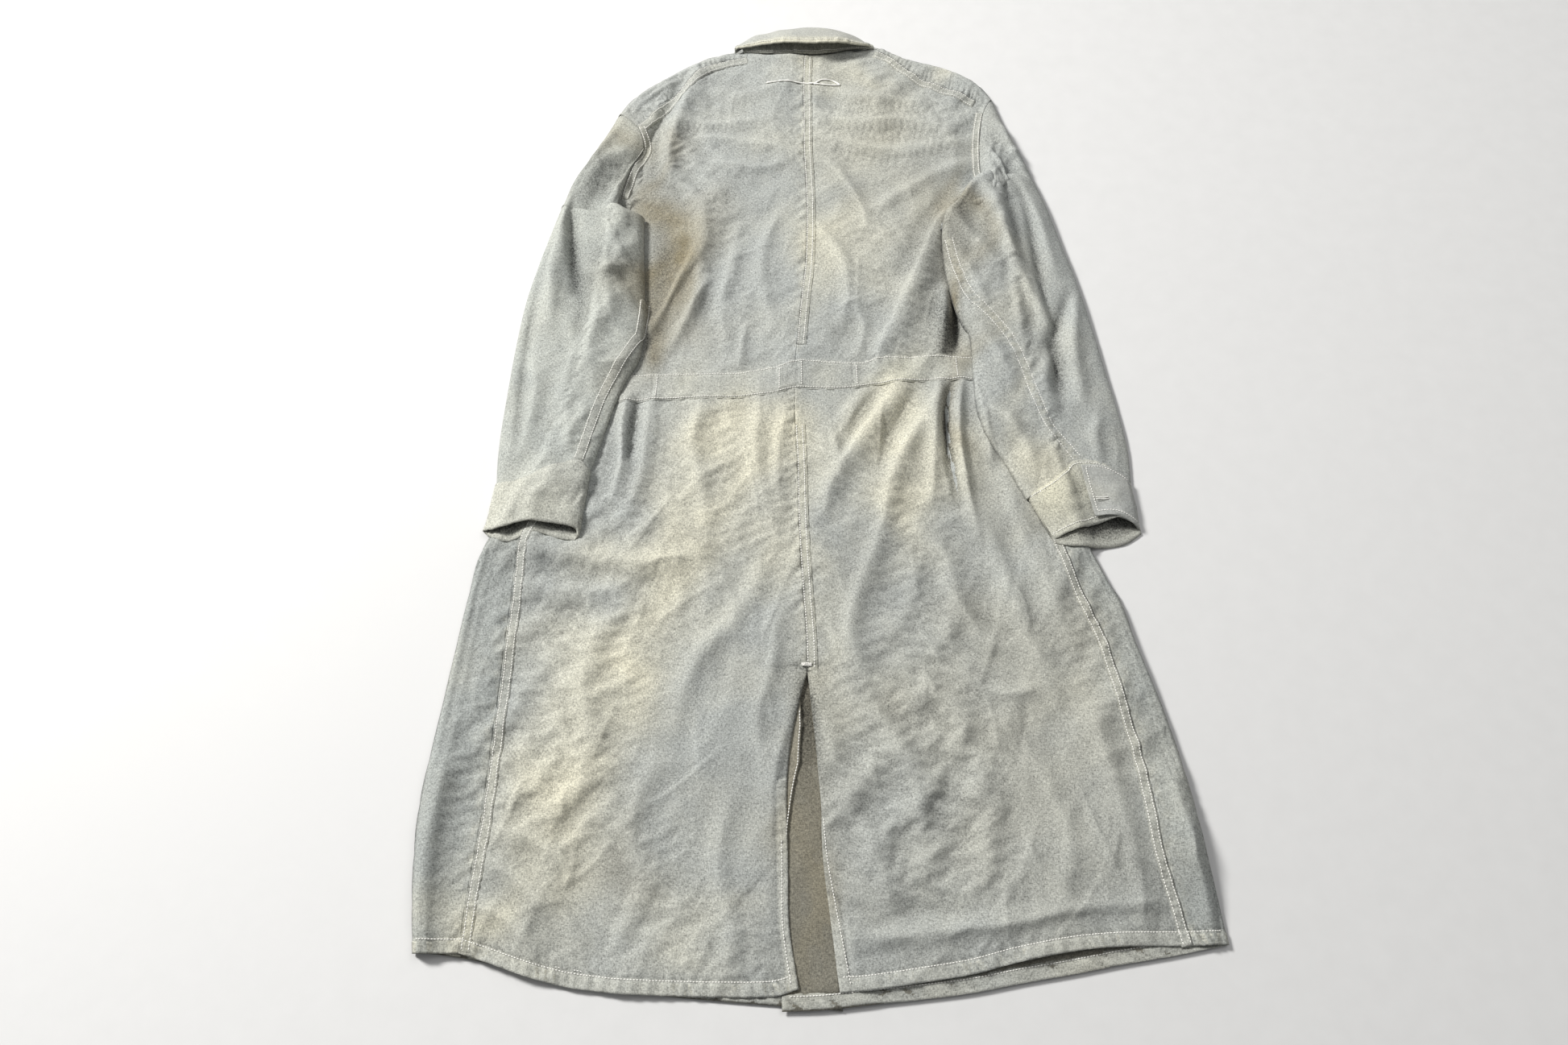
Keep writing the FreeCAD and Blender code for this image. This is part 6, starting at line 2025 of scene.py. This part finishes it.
# ---------------------------------------------------------------- finishes, studio and the run
def finishes() -> dict[str, Material]:
    """Every material, by the key that the sub-assemblies use."""
    groups = {"weave": weave_group(), "wear_and_relief_shading": wear_and_shade_group(), "crush": crush_group()}
    # side is a darker copy of the cloth: painted shade on the side panels along both silhouettes.
    made = [ClothFinish("cloth"), ClothFinish("side", cloth=(0.33, 0.343, 0.322)),
            # sleeve is a paler copy of the cloth for the left sleeve: painted light.
            ClothFinish("sleeve", cloth=(0.38, 0.393, 0.362), faded=(0.61, 0.59, 0.475)),
            ClothFinish("band", cloth=(0.395, 0.402, 0.37), faded=(0.62, 0.595, 0.46), crush=0.5),
            ClothFinish("seam", cloth=(0.375, 0.38, 0.345), faded=(0.59, 0.56, 0.43), crush=0.3),
            ClothFinish("collar", cloth=(0.385, 0.39, 0.365), faded=(0.60, 0.575, 0.45), contrast=0.3,
                        crush=0.2),
            ClothFinish("inner", cloth=(0.19, 0.183, 0.152), faded=(0.34, 0.31, 0.24))]
    out = {m.name: m.make(groups) for m in made}
    for plain in (PlainFinish("thread", (0.84, 0.82, 0.75), (0.94, 0.92, 0.87), 0.75),
                  PlainFinish("button", (0.10, 0.085, 0.07), (0.14, 0.12, 0.10), 0.4),
                  PlainFinish("label", (0.62, 0.60, 0.52), (0.56, 0.54, 0.46), 0.9)):
        out[plain.name] = plain.make()
    return out


@dataclass
class Studio:
    """A plain pale floor, soft daylight from above and behind, and the camera."""

    floor_half: float = 6.0

    def build(self) -> None:
        """Makes the floor, the lights, the world and the camera."""
        self.floor()
        self.lamp("key", (-2.8, 1.7, 2.8), (0.0, 0.0, 0.0), 0.9, 250)
        self.lamp("fill", (1.4, 1.0, 3.4), (0.1, 0.0, 0.0), 2.2, 34)
        world = bpy.data.worlds.new("room")
        world.use_nodes = True
        world.node_tree.nodes["Background"].inputs["Color"].default_value = (0.93, 0.96, 1.0, 1)
        world.node_tree.nodes["Background"].inputs["Strength"].default_value = 0.205
        bpy.context.scene.world = world
        cam = bpy.data.cameras.new("camera")
        cam.lens, cam.sensor_width = 27.55, 36.0
        cam.clip_start, cam.clip_end = 0.01, 60.0
        obj = bpy.data.objects.new("camera", cam)
        obj.location = (-0.032, -0.677, 1.277)
        obj.rotation_euler = (math.radians(23.75), 0.0, 0.0)
        bpy.context.collection.objects.link(obj)
        scene = bpy.context.scene
        scene.camera = obj
        scene.view_settings.view_transform = "Standard"
        scene.view_settings.look = "None"

    def floor(self) -> None:
        """A large flat floor whose top is at the height of the lowest cloth."""
        h = self.floor_half
        finish = PlainFinish("floor", (0.70, 0.69, 0.67), (0.72, 0.71, 0.69), 0.7, 40.0, 0.0)
        corners = [(-h, -h, 0), (h, -h, 0), (h, h, 0), (-h, h, 0)]
        new_piece("floor", corners, [(0, 1, 2, 3)], finish.make())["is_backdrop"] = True

    def lamp(self, name: str, place: tuple, target: tuple, size: float, power: float) -> None:
        """A square soft light turned to a point."""
        light = bpy.data.lights.new(name, "AREA")
        light.shape, light.size, light.energy = "SQUARE", size, power
        obj = bpy.data.objects.new(name, light)
        obj.location = place
        aim = mathutils.Vector(target) - obj.location
        obj.rotation_euler = aim.to_track_quat("-Z", "Y").to_euler()
        bpy.context.collection.objects.link(obj)


def write_size(key: str, out: dict) -> dict:
    """Adds the shown object's lowest and highest corner to the sizes, and gives them back."""
    low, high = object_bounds()
    out[key] = {"low": list(low), "high": list(high)}
    return out


def main() -> None:
    """Builds the smock, the studio and the camera, in order."""
    logging.basicConfig(level=logging.INFO, format="%(name)s %(message)s")
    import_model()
    sizes = write_size("cad", {})
    shop = Workshop(finishes())
    back = Back()
    Front().build(shop)
    back.build(shop)
    Collar().build(shop)
    Trims().build(shop, back)
    shop.soft_ground = shop.top.soft(36)
    shop.soft_ground.grid = np.maximum(shop.soft_ground.grid, shop.top.grid)
    for side, lines in ((Side.LEFT, LEFT_SLEEVE), (Side.RIGHT, RIGHT_SLEEVE)):
        Sleeve(side, lines).build(shop)
    shop.declare()
    Studio().build()
    write_size("visual", sizes)


if __name__ == "__main__":
    main()
